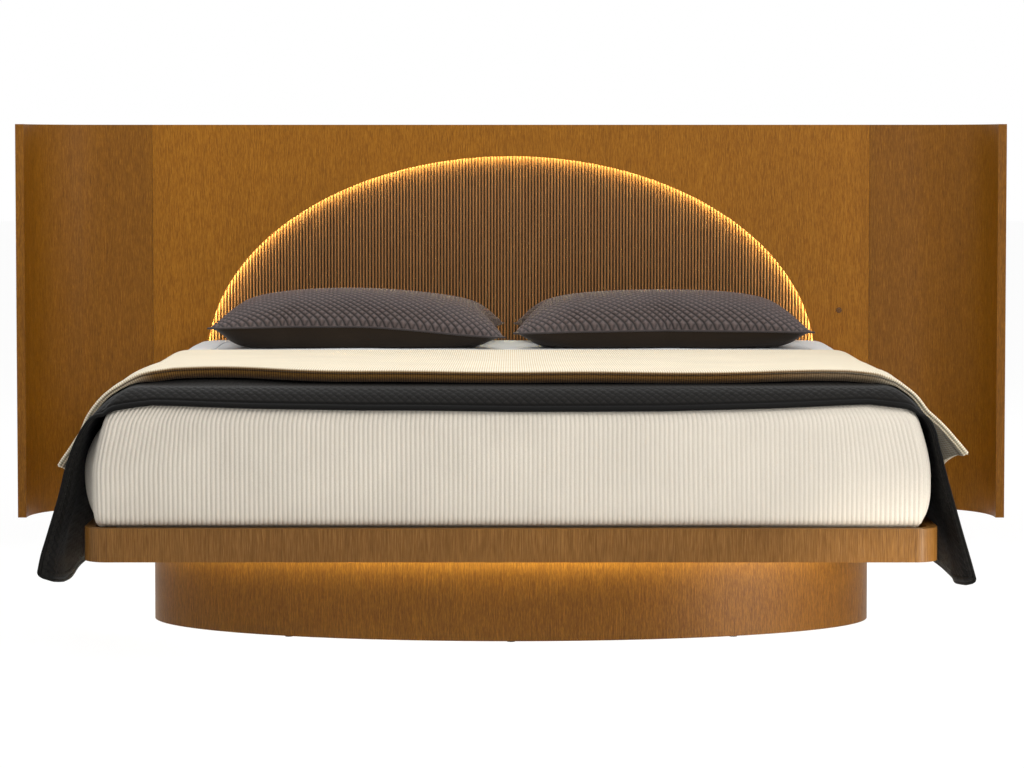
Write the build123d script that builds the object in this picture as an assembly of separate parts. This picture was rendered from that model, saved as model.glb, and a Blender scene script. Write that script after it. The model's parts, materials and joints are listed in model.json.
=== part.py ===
from build123d import *
import os
from math import floor, radians, sqrt, tan

# A king-size platform bed. The mattress is sunk in a thin wooden rim, which stands
# on a bowed plinth set back under it. Behind it is a wide headboard with wings that
# curve forward, and a lit arch of fine upright reeds.
# X runs to the right as seen from the foot, Y from the foot to the head, Z up.
# Places named "..._back" are distances behind the front face of the rim.
# All lengths are in millimetres.

os.makedirs("parts", exist_ok=True)

# Clearances and overruns
seat_gap = 0.3
slip_gap = 0.1
cloth_gap = 0.5
seam_gap = 0.8
cut_overrun = 6

# Mattress
mattress_width = 1930
mattress_length = 2030
mattress_thickness = 332
mattress_corner_radius = 60
mattress_edge_radius = 36
mattress_sink = 30

# Rim of four rails and two bent corners
rail_thickness = 25
rail_height = 78
rail_floor_height = 222
rail_corner_radius = 57
rim_gap = 3
head_gap = 14

# Deck, ledgers and bearers
deck_thickness = 18
deck_panel_count = 3
deck_joint_gap = 0.8
ledger_width = 24
ledger_height = 22
bearer_width = 45
bearer_count = 5
bearer_first_back = 300
bearer_last_back = 1900

# Dowels in the seams of the rim
dowel_radius = 4
dowel_long_end = 35
dowel_short_end = 14
dowel_height_shares = (0.25, 0.75)

# Screws that hold the deck down
screw_radius = 2.2
screw_head_radius = 4.5
screw_head_height = 2.5
screw_length = 36
screw_across_shares = (-0.62, 0.62)

# Plinth
plinth_half_width = 895
plinth_bow = 375
plinth_setback = 215
plinth_rear_setback = 122
plinth_wall = 22
plinth_web_thickness = 18
plinth_web_spacing = 430
plinth_web_count = 3
glide_radius = 10
glide_height = 2
glide_web_shares = (0.12, 0.88)
glide_bow_shares = (-0.6, 0, 0.6)

# Light under the rim
base_light_gap = 12
base_light_width = 17
base_light_height = 8
light_wall = 1.4
diffuser_thickness = 1.5
base_light_end_inset = 50
driver_length = 160
driver_width = 42
driver_height = 30
driver_floor_height = 110
driver_back = 1100

# Cable gland in the back of the plinth
gland_bore_radius = 3.6
gland_body_radius = 6
gland_flange_radius = 10
gland_flange_thickness = 3
gland_floor_height = 70
gland_across = 120

# Headboard
panel_half_width = 1080
panel_thickness = 25
headboard_floor_height = 92
headboard_height = 1159
wing_flat_width = 134
wing_bend_radius = 215
wing_edge_length = 15

# Arch in the headboard
arch_side_margin = 161
arch_top_margin = 95
arch_floor_height = 539
spacer_thickness = 18
spacer_hole_margin = 22
backer_thickness = 12
backer_drop = 39
backer_top_margin = 35
reed_pitch = 9.5
reed_radius = 4.5
reed_lap = 14
reed_side_lap = 7
reed_drop = 15

# Light round the arch
arch_light_gap = 5
arch_light_width = 12
arch_light_depth = 12
arch_driver_across = 300
arch_driver_depth = 22
arch_driver_floor_height = 700

# Frame behind the headboard
stile_width = 70
stile_inset = 5
back_rail_height = 30
foot_rail_height = 60
back_frame_depth = 48
former_thickness = 18
former_end_share = 0.795
former_shares = (0.06, 0.5, 0.94)
cleat_length = 1600
cleat_thickness = 15
cleat_height = 26

# Brackets that join the headboard to the bed
bracket_across = 700
bracket_width = 120
bracket_height = 80
bracket_thickness = 4
bolt_radius = 4
bolt_hole_gap = 0.3
bolt_head_radius = 8
bolt_head_height = 6
bolt_spacing = 70
bolt_floor_height = 237

# Light switch on the headboard
switch_inset = 90
switch_floor_height = 692
switch_body_radius = 7
switch_body_length = 38
switch_bore_radius = 5.4
switch_bore_depth = 8
bezel_radius = 8.5
bezel_thickness = 2
button_radius = 5.2
button_proud = 2.4
button_travel = 1.5
button_seat_gap = 0.4

# Bedclothes
coverlet_thickness = 8
coverlet_length = 1500
sheet_thickness = 4
channel_pitch = 11
channel_depth = 2.6
channel_width = 3.6
cloth_shoulder_radius = 44

# Throw across the foot. At each place along it, the fall shares say how much of the
# longest fall hangs there, and the flare shares how far the cloth stands out at each
# height share, beyond what it needs to pass the rim.
throw_thickness = 9
throw_length = 480
throw_front_hem_height = 572
throw_fall = 440
throw_flare = 91
height_shares = (0.3, 0.62, 0.8, 1)
rim_pass_shares = (0, 1, 1, 1)
throw_along_shares = (0, 0.08, 0.165, 0.265, 0.58, 1)
throw_fall_shares = (1, 0.99, 0.985, 0.98, 0.97, 0.98)
throw_flare_shares = (
    (0.33, 0.58, 0.85, 1),
    (0.04, 0.02, 0.04, 0.1),
    (0.15, 0.14, 0.21, 0.34),
    (0, 0, 0, 0),
    (0, 0, 0, 0),
    (0, 0, 0, 0),
)

# Blanket behind it, thick where it is folded at the front
blanket_setback = 120
blanket_length = 1210
blanket_fold_thickness = 30
blanket_side_thickness = 14
blanket_fall = 372
blanket_flare = 46
blanket_along_shares = (0, 0.047, 0.117, 0.204, 0.307, 0.423, 0.555, 0.688, 0.828, 1)
blanket_top_shares = (1, 1, 0.94, 0.88, 0.8, 0.74, 0.67, 0.6, 0.53, 0.47)
blanket_side_shares = (1, 1, 0.93, 0.86, 0.86, 0.86, 0.86, 0.86, 0.86, 0.86)
blanket_fall_shares = (0.46, 0.61, 0.785, 0.91, 0.973, 0.995, 0.984, 1, 0.968, 0.94)
blanket_flare_shares = (
    (0.39, 0.39, 0.67, 1),
    (0.26, 0.26, 0.48, 0.7),
    (0.22, 0.13, 0.22, 0.3),
    (0.3, 0.52, 0.74, 0.91),
    (0.22, 0.17, 0.26, 0.35),
    (0.35, 0.52, 0.74, 0.96),
    (0.22, 0.17, 0.28, 0.39),
    (0.33, 0.48, 0.7, 0.87),
    (0.22, 0.17, 0.3, 0.43),
    (0.3, 0.39, 0.61, 0.78),
)

# Pillows
pillow_width = 855
pillow_depth = 480
pillow_height = 161
pillow_gap = 23
pillow_back = 1768
pillow_seam_share = 0.36
pillow_along_shares = (-1, -0.93, -0.76, -0.42, 0, 0.42, 0.76, 0.93, 1)
pillow_fill_shares = (0.05, 0.27, 0.66, 0.94, 1, 0.94, 0.66, 0.27, 0.05)
pillow_depth_shares = (0.98, 1, 0.97, 0.94, 0.93, 0.94, 0.97, 1, 0.98)

# Sizes that follow from the ones above
rim_half_width = mattress_width / 2 + rim_gap + rail_thickness
rim_inner_half = rim_half_width - rail_thickness
rim_top = rail_floor_height + rail_height
deck_top = rim_top - mattress_sink
deck_bottom = deck_top - deck_thickness
mattress_front_back = rail_thickness + rim_gap
mattress_rear_back = mattress_front_back + mattress_length
mattress_top = deck_top + mattress_thickness
panel_face_back = mattress_rear_back + head_gap
panel_rear_back = panel_face_back + panel_thickness
head_rail_front_back = panel_face_back - rail_thickness
headboard_top = headboard_floor_height + headboard_height
frame_rear_back = panel_rear_back + back_frame_depth
overall_depth = frame_rear_back + cleat_thickness
spacer_rear_back = panel_rear_back + spacer_thickness
backer_rear_back = spacer_rear_back + backer_thickness
bow_end_back = plinth_setback + plinth_bow
plinth_rear_back = panel_face_back - plinth_rear_setback
wing_bend_across = panel_half_width + wing_flat_width
wing_inner_half_width = wing_bend_across + wing_bend_radius
wing_bend_back = panel_face_back - wing_bend_radius
arch_half_width = panel_half_width - arch_side_margin
arch_rise = headboard_top - arch_top_margin - arch_floor_height
switch_across = panel_half_width - switch_inset
stile_inner_half = panel_half_width - stile_width / 2
backer_bottom = arch_floor_height - backer_drop
backer_top = headboard_top - backer_top_margin
coverlet_top = mattress_top + coverlet_thickness
throw_low = coverlet_top + cloth_gap
throw_high = throw_low + throw_thickness
throw_half_width = mattress_width / 2 + coverlet_thickness + cloth_gap
throw_front_back = mattress_front_back - coverlet_thickness
throw_rim_pass = rim_half_width + cloth_gap - throw_half_width
blanket_low = throw_high + cloth_gap
blanket_half_width = throw_half_width + throw_thickness + cloth_gap
blanket_rim_pass = throw_rim_pass + cloth_gap
blanket_front_back = mattress_front_back + blanket_setback
shoulder_share = tan(radians(45 / 2))


def at_back(distance):
    """Y of a place that lies this far behind the front face of the rim."""
    return distance - overall_depth / 2


def block(x_low, x_high, back_low, back_high, z_low, z_high):
    """A box between two distances behind the rim's front face."""
    centre = (
        (x_low + x_high) / 2,
        at_back((back_low + back_high) / 2),
        (z_low + z_high) / 2,
    )
    return Pos(*centre) * Box(x_high - x_low, back_high - back_low, z_high - z_low)


def rod(radius, start, end):
    """A round bar between two points given as (x, back, z)."""
    first = Vector(start[0], at_back(start[1]), start[2])
    last = Vector(end[0], at_back(end[1]), end[2])
    return Solid.make_cylinder(radius, (last - first).length, Plane(first, z_dir=last - first))


def upright(radius, x, back, z_low, z_high):
    """An upright round bar."""
    return rod(radius, (x, back, z_low), (x, back, z_high))


def mirrored(shape):
    """The same shape on the other side of the bed."""
    return mirror(shape, about=Plane.YZ)


def group(solids):
    """Separate solids kept together in one node."""
    return Compound(children=[solid for part in solids for solid in part.solids()])


def save(name, shape):
    """Writes one node."""
    export_step(shape, f"parts/{name}.step")


def save_pair(name, shape):
    """Writes a right-hand node and its mirror image."""
    save(f"{name}_right", shape)
    save(f"{name}_left", mirrored(shape))


def spread(count, low, high):
    """Evenly spaced places from low to high."""
    return [low + (high - low) * i / (count - 1) for i in range(count)]


# Rim


def rim_dowels(growth):
    """The dowels of the rim's seams, or with a growth the holes for them."""
    radius = dowel_radius + growth
    long_end = dowel_long_end + growth
    short_end = dowel_short_end + growth
    seam_x = rim_half_width - rail_corner_radius
    middle_back = rail_thickness / 2
    middle_x = rim_half_width - rail_thickness / 2
    head_back = head_rail_front_back + rail_thickness / 2
    head_end = rim_inner_half
    dowels = []
    for share in dowel_height_shares:
        z = rail_floor_height + rail_height * share
        head_z = rail_floor_height + (deck_top - rail_floor_height) * share
        dowels += [
            rod(radius, (seam_x - long_end, middle_back, z), (seam_x + short_end, middle_back, z)),
            rod(
                radius,
                (middle_x, rail_corner_radius - short_end, z),
                (middle_x, rail_corner_radius + long_end, z),
            ),
            rod(
                radius,
                (head_end - long_end, head_back, head_z),
                (head_end + short_end, head_back, head_z),
            ),
        ]
    return dowels + [mirrored(dowel) for dowel in dowels]


def front_rail():
    half = rim_half_width - rail_corner_radius
    return block(-half, half, 0, rail_thickness, rail_floor_height, rim_top)


def side_rail():
    return block(
        rim_inner_half,
        rim_half_width,
        rail_corner_radius,
        panel_face_back,
        rail_floor_height,
        rim_top,
    )


def head_rail():
    return block(
        -rim_inner_half,
        rim_inner_half,
        head_rail_front_back,
        panel_face_back,
        rail_floor_height,
        deck_top,
    )


def bent_corner():
    """A quarter round piece between the front rail and a side rail."""
    x = rim_half_width - rail_corner_radius
    outer = upright(rail_corner_radius, x, rail_corner_radius, rail_floor_height, rim_top)
    inner = upright(
        rail_corner_radius - rail_thickness,
        x,
        rail_corner_radius,
        rail_floor_height - cut_overrun,
        rim_top + cut_overrun,
    )
    quarter = block(
        x,
        rim_half_width + cut_overrun,
        -cut_overrun,
        rail_corner_radius,
        rail_floor_height - cut_overrun,
        rim_top + cut_overrun,
    )
    return (outer - inner) & quarter


def bracket_bolts(growth):
    """The four bolts, or with a growth the holes for their shanks."""
    bolts = []
    start = head_rail_front_back
    end = panel_rear_back + bracket_thickness
    for side in (-1, 1):
        for step in (-1, 1):
            x = side * bracket_across + step * bolt_spacing / 2
            z = bolt_floor_height
            shank = rod(bolt_radius + growth, (x, start - growth, z), (x, end + growth, z))
            if growth:
                bolts.append(shank)
                continue
            head = rod(bolt_head_radius, (x, start - bolt_head_height, z), (x, start, z))
            nut = rod(bolt_head_radius, (x, end, z), (x, end + bolt_head_height, z))
            bolts.append(shank + head + nut)
    return bolts


holes = rim_dowels(slip_gap)
bolt_holes = bracket_bolts(bolt_hole_gap)
save("rail_front", front_rail() - holes)
save_pair("rail", side_rail() - holes)
save("rail_head", head_rail() - holes - bolt_holes)
save_pair("corner", bent_corner() - holes)
save("rim_dowels", group(rim_dowels(0)))


# Deck

bearer_backs = spread(bearer_count, bearer_first_back, bearer_last_back)
ledger_inner_half = rim_inner_half - ledger_width


def deck_screws(growth):
    """The screws through the deck into the bearers, or the holes for them."""
    screws = []
    for back in bearer_backs:
        for share in screw_across_shares:
            x = share * rim_inner_half
            low = deck_top - screw_length
            head_low = deck_top - screw_head_height
            shank = upright(screw_radius + growth, x, back, low - growth, head_low)
            head_top = deck_top + (cut_overrun if growth else 0)
            head = upright(screw_head_radius + growth, x, back, head_low - growth, head_top)
            screws.append(shank + head)
    return screws


def deck_panels():
    """Three boards across the rim, the first with its two corners rounded."""
    outline = block(
        -rim_inner_half,
        rim_inner_half,
        rail_thickness,
        head_rail_front_back,
        deck_bottom,
        deck_top,
    )
    front = at_back(rail_thickness)
    corners = [e for e in outline.edges().filter_by(Axis.Z) if abs(e.center().Y - front) < seat_gap]
    outline = fillet(corners, rail_corner_radius - rail_thickness + seat_gap)
    outline -= deck_screws(slip_gap)
    joints = spread(deck_panel_count + 1, rail_thickness, head_rail_front_back)
    panels = []
    for low, high in zip(joints, joints[1:]):
        low += deck_joint_gap / 2 if low > rail_thickness else 0
        high -= deck_joint_gap / 2 if high < head_rail_front_back else 0
        panels.append(outline & block(-rim_half_width, rim_half_width, low, high, 0, rim_top))
    return panels


def front_ledger():
    half = rim_half_width - rail_corner_radius
    low = deck_bottom - ledger_height
    return block(-half, half, rail_thickness, rail_thickness + ledger_width, low, deck_bottom)


def side_ledger():
    return block(
        ledger_inner_half,
        rim_inner_half,
        rail_corner_radius,
        head_rail_front_back,
        deck_bottom - ledger_height,
        deck_bottom,
    )


def cross_bearer(back):
    half = bearer_width / 2
    bearer = block(
        -ledger_inner_half,
        ledger_inner_half,
        back - half,
        back + half,
        rail_floor_height,
        deck_bottom,
    )
    return bearer - deck_screws(slip_gap)


for name, panel in zip(("foot", "middle", "head"), deck_panels()):
    save(f"deck_panel_{name}", panel)
save("ledger_front", front_ledger())
save_pair("ledger", side_ledger())
for number, back in enumerate(bearer_backs, start=1):
    save(f"cross_bearer_{number}", cross_bearer(back))
save("deck_screws", group(deck_screws(0)))


# Plinth


def bow_solid(growth, rear_back, z_low, z_high):
    """A plan with a half ellipse at the front and straight sides, made upright."""
    half = plinth_half_width + growth
    bow = plinth_bow + growth
    middle = at_back(bow_end_back)
    rear = at_back(rear_back)
    front_edge = EllipticalCenterArc((0, middle), half, bow, 180, arc_size=180)
    sides = Polyline((half, middle), (half, rear), (-half, rear), (-half, middle))
    face = make_face(Curve() + [front_edge, sides])
    return Pos(0, 0, z_low) * extrude(face, amount=z_high - z_low)


def bow_back(x, inset):
    """How far back the bowed wall lies at x, on a line set inside its face."""
    half = plinth_half_width - inset
    return bow_end_back - (plinth_bow - inset) * sqrt(1 - (x / half) ** 2)


def plinth_shell():
    """The whole upright wall, before it is cut into its pieces."""
    outer = bow_solid(0, plinth_rear_back, glide_height, rail_floor_height)
    low = glide_height - cut_overrun
    high = rail_floor_height + cut_overrun
    return outer - bow_solid(-plinth_wall, plinth_rear_back - plinth_wall, low, high)


def plinth_piece(x_low, x_high, back_low, back_high):
    """One piece of the wall, between the seams."""
    return plinth_shell() & block(x_low, x_high, back_low, back_high, 0, rail_floor_height)


plinth_inner_half = plinth_half_width - plinth_wall
plinth_inner_rear = plinth_rear_back - plinth_wall
web_places = spread(plinth_web_count, -plinth_web_spacing, plinth_web_spacing)


def plinth_web(x):
    """An upright board along the bed that carries the bearers."""
    half = plinth_web_thickness / 2
    nearest = max(abs(x) - half, 0)
    farthest = abs(x) + half
    front = max(bow_back(nearest, plinth_wall), bow_back(farthest, plinth_wall)) + seat_gap
    return block(x - half, x + half, front, plinth_inner_rear, glide_height, rail_floor_height)


def plinth_glides():
    """Low round pads that keep the wood off the floor."""
    places = []
    for x in web_places:
        front = bow_back(abs(x), plinth_wall)
        for share in glide_web_shares:
            places.append((x, front + (plinth_inner_rear - front) * share))
    side_x = plinth_half_width - plinth_wall / 2
    for share in glide_web_shares:
        back = bow_end_back + (plinth_rear_back - bow_end_back) * share
        places += [(side_x, back), (-side_x, back)]
    for share in glide_bow_shares:
        x = plinth_half_width * share
        places.append((x, bow_back(x, plinth_wall / 2)))
    return [upright(glide_radius, x, back, 0, glide_height) for x, back in places]


def gland():
    """A round gland through the back of the plinth, open along its middle."""
    x, z = gland_across, gland_floor_height
    flange_end = plinth_rear_back + gland_flange_thickness
    body = rod(gland_body_radius, (x, plinth_inner_rear, z), (x, plinth_rear_back, z))
    flange = rod(gland_flange_radius, (x, plinth_rear_back, z), (x, flange_end, z))
    bore = rod(
        gland_bore_radius,
        (x, plinth_inner_rear - cut_overrun, z),
        (x, flange_end + cut_overrun, z),
    )
    return body + flange - bore


gland_hole = rod(
    gland_body_radius + slip_gap,
    (gland_across, plinth_inner_rear - cut_overrun, gland_floor_height),
    (gland_across, plinth_rear_back + cut_overrun, gland_floor_height),
)
save("plinth_front", plinth_piece(-plinth_half_width, plinth_half_width, 0, bow_end_back))
save_pair(
    "plinth",
    plinth_piece(plinth_inner_half, plinth_half_width, bow_end_back, plinth_rear_back),
)
plinth_back = plinth_piece(
    -plinth_inner_half, plinth_inner_half, plinth_inner_rear, plinth_rear_back
)
save("plinth_back", plinth_back - gland_hole)
for name, x in zip(("left", "centre", "right"), web_places):
    save(f"plinth_web_{name}", plinth_web(x))
save("plinth_glides", group(plinth_glides()))
save("cable_gland", gland())


# Light under the rim


def base_light_band(inset, z_low, z_high):
    """An open band that follows the plinth's face at a distance from it."""
    inner = base_light_gap + inset
    outer = base_light_gap + base_light_width - inset
    rear = plinth_rear_back - base_light_end_inset
    band = bow_solid(outer, rear, z_low, z_high)
    return band - bow_solid(inner, rear + cut_overrun, z_low - cut_overrun, z_high + cut_overrun)


def base_light():
    """A channel that opens downwards, and the diffuser pressed into it."""
    low = rail_floor_height - base_light_height
    channel = base_light_band(0, low, rail_floor_height)
    groove = base_light_band(light_wall, low - cut_overrun, rail_floor_height - light_wall)
    diffuser = base_light_band(light_wall + slip_gap, low, low + diffuser_thickness)
    return channel - groove, diffuser


def base_driver():
    """The power supply, screwed to the middle board of the plinth."""
    x = web_places[plinth_web_count // 2] + plinth_web_thickness / 2
    body = block(
        x,
        x + driver_width,
        driver_back,
        driver_back + driver_length,
        driver_floor_height,
        driver_floor_height + driver_height,
    )
    return fillet(body.edges().filter_by(Axis.Y), driver_height / 10)


light_channel, light_diffuser = base_light()
save("base_light_channel", light_channel)
save("base_light_diffuser", light_diffuser)
save("base_light_driver", base_driver())


# Headboard


def arch_solid(growth, back_low, back_high, drop):
    """The half ellipse of the arch as a block, with a straight strip below it."""
    half = arch_half_width + growth
    plane = Plane(
        (0, at_back(back_low), arch_floor_height), x_dir=(1, 0, 0), z_dir=(0, 1, 0)
    )
    rise = arch_rise + growth
    top = EllipticalCenterArc((0, 0), half, rise, 180, arc_size=180)
    strip = [(half, drop), (-half, drop)] if drop else []
    sides = Polyline((half, 0), *strip, (-half, 0))
    face = make_face(Curve() + [top, sides])
    return extrude(plane * face, amount=back_high - back_low, dir=(0, 1, 0))


def switch_hole():
    start = (switch_across, panel_face_back - cut_overrun, switch_floor_height)
    end = (switch_across, frame_rear_back, switch_floor_height)
    return rod(switch_body_radius + slip_gap, start, end)


def centre_panel():
    panel = block(
        -panel_half_width,
        panel_half_width,
        panel_face_back,
        panel_rear_back,
        headboard_floor_height,
        headboard_top,
    )
    opening = arch_solid(0, panel_face_back - cut_overrun, panel_rear_back + cut_overrun, 0)
    return panel - opening - switch_hole() - bolt_holes


def wing():
    """A panel that runs on flat from the seam, then bends forward a quarter turn."""
    seam = panel_half_width + seam_gap
    bend_x = wing_bend_across
    outer_radius = wing_bend_radius + panel_thickness
    face_y = at_back(panel_face_back)
    rear_y = at_back(panel_rear_back)
    bend_y = at_back(wing_bend_back)
    tip_y = at_back(wing_bend_back - wing_edge_length)
    tip_x = wing_inner_half_width + panel_thickness
    edges = [
        Polyline((bend_x, face_y), (seam, face_y), (seam, rear_y), (bend_x, rear_y)),
        CenterArc((bend_x, bend_y), outer_radius, 90, -90),
        Polyline(
            (tip_x, bend_y), (tip_x, tip_y), (wing_inner_half_width, tip_y),
            (wing_inner_half_width, bend_y),
        ),
        CenterArc((bend_x, bend_y), wing_bend_radius, 0, 90),
    ]
    face = make_face(Curve() + edges)
    return Pos(0, 0, headboard_floor_height) * extrude(face, amount=headboard_height)


def arch_board(back_low, back_high):
    """A board behind the panel, from stile to stile."""
    return block(
        -stile_inner_half, stile_inner_half, back_low, back_high, backer_bottom, backer_top
    )


def arch_spacer():
    """Holds the reeds off the panel and leaves room for the light."""
    hole = arch_solid(
        spacer_hole_margin, panel_rear_back - cut_overrun, spacer_rear_back + cut_overrun,
        spacer_hole_margin,
    )
    return arch_board(panel_rear_back, spacer_rear_back) - hole - switch_hole()


def reed(x):
    """A half-round upright strip, cut off level behind the edge of the arch."""
    rise = (arch_rise + reed_lap) * sqrt(1 - (x / (arch_half_width + reed_lap)) ** 2)
    low = arch_floor_height - reed_drop
    y = at_back(spacer_rear_back)
    round_edge = CenterArc((x, y), reed_radius, 180, 180)
    flat_edge = Line((x - reed_radius, y), (x + reed_radius, y))
    face = make_face(Curve() + [round_edge, flat_edge])
    return Pos(0, 0, low) * extrude(face, amount=reed_drop + rise)


def reeds():
    """All the strips side by side across the arch, evenly spaced out to its edge."""
    reach = arch_half_width + reed_side_lap - reed_radius
    side_count = round(reach / reed_pitch)
    step = reach / side_count
    return [reed(i * step) for i in range(-side_count, side_count + 1)]


def arch_light_ring(low, high, back_low, back_high):
    """A band round the arch, from one distance outside its edge to another."""
    outer = arch_solid(high, back_low, back_high, 0)
    return outer - arch_solid(low, back_low - cut_overrun, back_high + cut_overrun, cut_overrun)


def arch_light():
    """A channel that opens towards the arch, and its diffuser."""
    near = arch_light_gap
    far = near + arch_light_width
    front = panel_rear_back
    rear = front + arch_light_depth
    channel = arch_light_ring(near, far, front, rear)
    groove = arch_light_ring(near - cut_overrun, far - light_wall, front + light_wall, rear - light_wall)
    diffuser_front = front + light_wall + slip_gap
    diffuser_rear = rear - light_wall - slip_gap
    diffuser = arch_light_ring(near, near + diffuser_thickness, diffuser_front, diffuser_rear)
    return channel - groove, diffuser


def arch_driver():
    """The power supply behind the reeds."""
    body = block(
        arch_driver_across,
        arch_driver_across + driver_length,
        backer_rear_back,
        backer_rear_back + arch_driver_depth,
        arch_driver_floor_height,
        arch_driver_floor_height + driver_width,
    )
    return fillet(body.edges().filter_by(Axis.X), driver_height / 10)


def stile():
    """An upright behind the seam between the panel and a wing."""
    return block(
        stile_inner_half,
        stile_inner_half + stile_width,
        panel_rear_back,
        frame_rear_back,
        headboard_floor_height + stile_inset,
        headboard_top - stile_inset,
    )


def back_rail(z_low, height):
    """A rail from stile to stile."""
    return block(
        -stile_inner_half,
        stile_inner_half,
        panel_rear_back,
        frame_rear_back,
        z_low,
        z_low + height,
    )


def wing_former(z):
    """A flat board cut to the outer curve of a wing."""
    low_x = stile_inner_half + stile_width
    bend_x = wing_bend_across
    bend_back = wing_bend_back
    high_x = bend_x + wing_bend_radius * former_end_share
    radius = wing_bend_radius + panel_thickness + seat_gap
    board = block(low_x, high_x, bend_back, frame_rear_back, z, z + former_thickness)
    flat = block(
        low_x - cut_overrun,
        bend_x,
        bend_back - cut_overrun,
        panel_rear_back + seat_gap,
        z - cut_overrun,
        z + former_thickness + cut_overrun,
    )
    curve = upright(radius, bend_x, bend_back, z - cut_overrun, z + former_thickness + cut_overrun)
    return board - flat - curve


def wing_formers():
    low = headboard_floor_height + stile_inset
    room = headboard_height - stile_inset * 2 - former_thickness
    return group([wing_former(low + room * share) for share in former_shares])


def wall_cleat():
    """A bar with a sloping lower edge that hooks over its mate on the wall."""
    high = headboard_top - stile_inset
    front = at_back(frame_rear_back)
    rear = at_back(overall_depth)
    profile = Polyline(
        (front, high),
        (rear, high),
        (rear, high - cleat_height),
        (front, high - cleat_height + cleat_thickness),
        close=True,
    )
    plane = Plane((-cleat_length / 2, 0, 0), x_dir=(0, 1, 0), z_dir=(1, 0, 0))
    return extrude(plane * make_face(profile), amount=cleat_length, dir=(1, 0, 0))


def bed_bracket():
    """A steel plate behind the panel that spreads the load of two bolts."""
    middle = bolt_floor_height
    plate = block(
        bracket_across - bracket_width / 2,
        bracket_across + bracket_width / 2,
        panel_rear_back,
        panel_rear_back + bracket_thickness,
        middle - bracket_height / 2,
        middle + bracket_height / 2,
    )
    return plate - bolt_holes


top_rail_low = backer_top
save("headboard_panel", centre_panel())
save_pair("wing", wing())
save("reeds", group(reeds()))
save("reed_backer", arch_board(spacer_rear_back, backer_rear_back) - switch_hole())
save("arch_spacer", arch_spacer())
ring_channel, ring_diffuser = arch_light()
save("arch_light_channel", ring_channel)
save("arch_light_diffuser", ring_diffuser)
save("arch_light_driver", arch_driver())
save("back_rail_top", back_rail(top_rail_low, back_rail_height))
save("back_rail_bottom", back_rail(headboard_floor_height + stile_inset, foot_rail_height))
save_pair("seam_stile", stile())
save_pair("wing_formers", wing_formers())
save("wall_cleat", wall_cleat())
save_pair("bed_bracket", bed_bracket())
save("bracket_bolts", group(bracket_bolts(0)))


# Light switch


def switch_rod(radius, back_low, back_high):
    return rod(
        radius,
        (switch_across, back_low, switch_floor_height),
        (switch_across, back_high, switch_floor_height),
    )


def switch_parts():
    """The body through the panel, the bezel on its face and the button in it."""
    face = panel_face_back
    bore_floor = face + switch_bore_depth
    body = switch_rod(switch_body_radius, face, face + switch_body_length)
    body -= switch_rod(switch_bore_radius, face - cut_overrun, bore_floor)
    bezel = switch_rod(bezel_radius, face - bezel_thickness, face)
    rim = bezel.edges().filter_by(GeomType.CIRCLE).sort_by(Axis.Y)[0]
    bezel = fillet(rim, bezel_thickness / 3)
    bezel -= switch_rod(switch_bore_radius, face - bezel_thickness - cut_overrun, face + cut_overrun)
    button_front = face - bezel_thickness - button_proud
    button = switch_rod(button_radius, button_front, bore_floor - button_travel - button_seat_gap)
    crown = button.edges().filter_by(GeomType.CIRCLE).sort_by(Axis.Y)[0]
    return body, bezel, fillet(crown, button_proud / 3)


switch_body, switch_bezel, switch_button = switch_parts()
save("switch_body", switch_body)
save("switch_bezel", switch_bezel)
save("switch_button", switch_button)


# Mattress, coverlet and sheet


def soft_box(growth, z_low):
    """The mattress's outline grown by some thickness, rounded at its upright and top edges."""
    half = mattress_width / 2 + growth
    box = block(
        -half,
        half,
        mattress_front_back - growth,
        mattress_rear_back + growth,
        z_low,
        mattress_top + growth,
    )
    box = fillet(box.edges().filter_by(Axis.Z), mattress_corner_radius + growth)
    return fillet(box.faces().sort_by(Axis.Z)[-1].edges(), mattress_edge_radius + growth)


def cover(growth, back_low, back_high):
    """A fitted cover over the mattress between two places along the bed."""
    shell = soft_box(growth, rim_top + seat_gap) - soft_box(seat_gap, deck_top)
    return shell & block(
        -rim_half_width, rim_half_width, back_low, back_high, deck_top, coverlet_top
    )


def channel_grooves():
    """Upright grooves across the front of the coverlet."""
    reach = mattress_width / 2 - mattress_corner_radius
    side_count = floor(reach / channel_pitch)
    y = at_back(mattress_front_back - coverlet_thickness)
    high = mattress_top - mattress_edge_radius
    half = channel_width / 2
    grooves = []
    for i in range(-side_count, side_count + 1):
        x = i * channel_pitch
        corners = ((x - half, y - slip_gap), (x + half, y - slip_gap), (x, y + channel_depth))
        face = make_face(Polyline(*corners, close=True))
        low = rim_top
        grooves.append(Pos(0, 0, low) * extrude(face, amount=high - low))
    return grooves


cover_seam_back = mattress_front_back + coverlet_length
save("mattress", soft_box(0, deck_top))
coverlet = cover(coverlet_thickness, throw_front_back, cover_seam_back)
save("coverlet", coverlet - channel_grooves())
sheet_rear_back = mattress_rear_back + sheet_thickness
save("sheet", cover(sheet_thickness, cover_seam_back + cloth_gap, sheet_rear_back))


# Throw and blanket


def stand_outs(rim_pass, flare, flare_shares):
    """How far a cloth stands out from the bed's side at each height share."""
    return [rim_pass * base + flare * share for base, share in zip(rim_pass_shares, flare_shares)]


def fall_points(half_width, top, fall, outs):
    """The side of a cloth below its shoulder, down to its hem."""
    return [(half_width + out, top - fall * share) for share, out in zip(height_shares, outs)]


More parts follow.
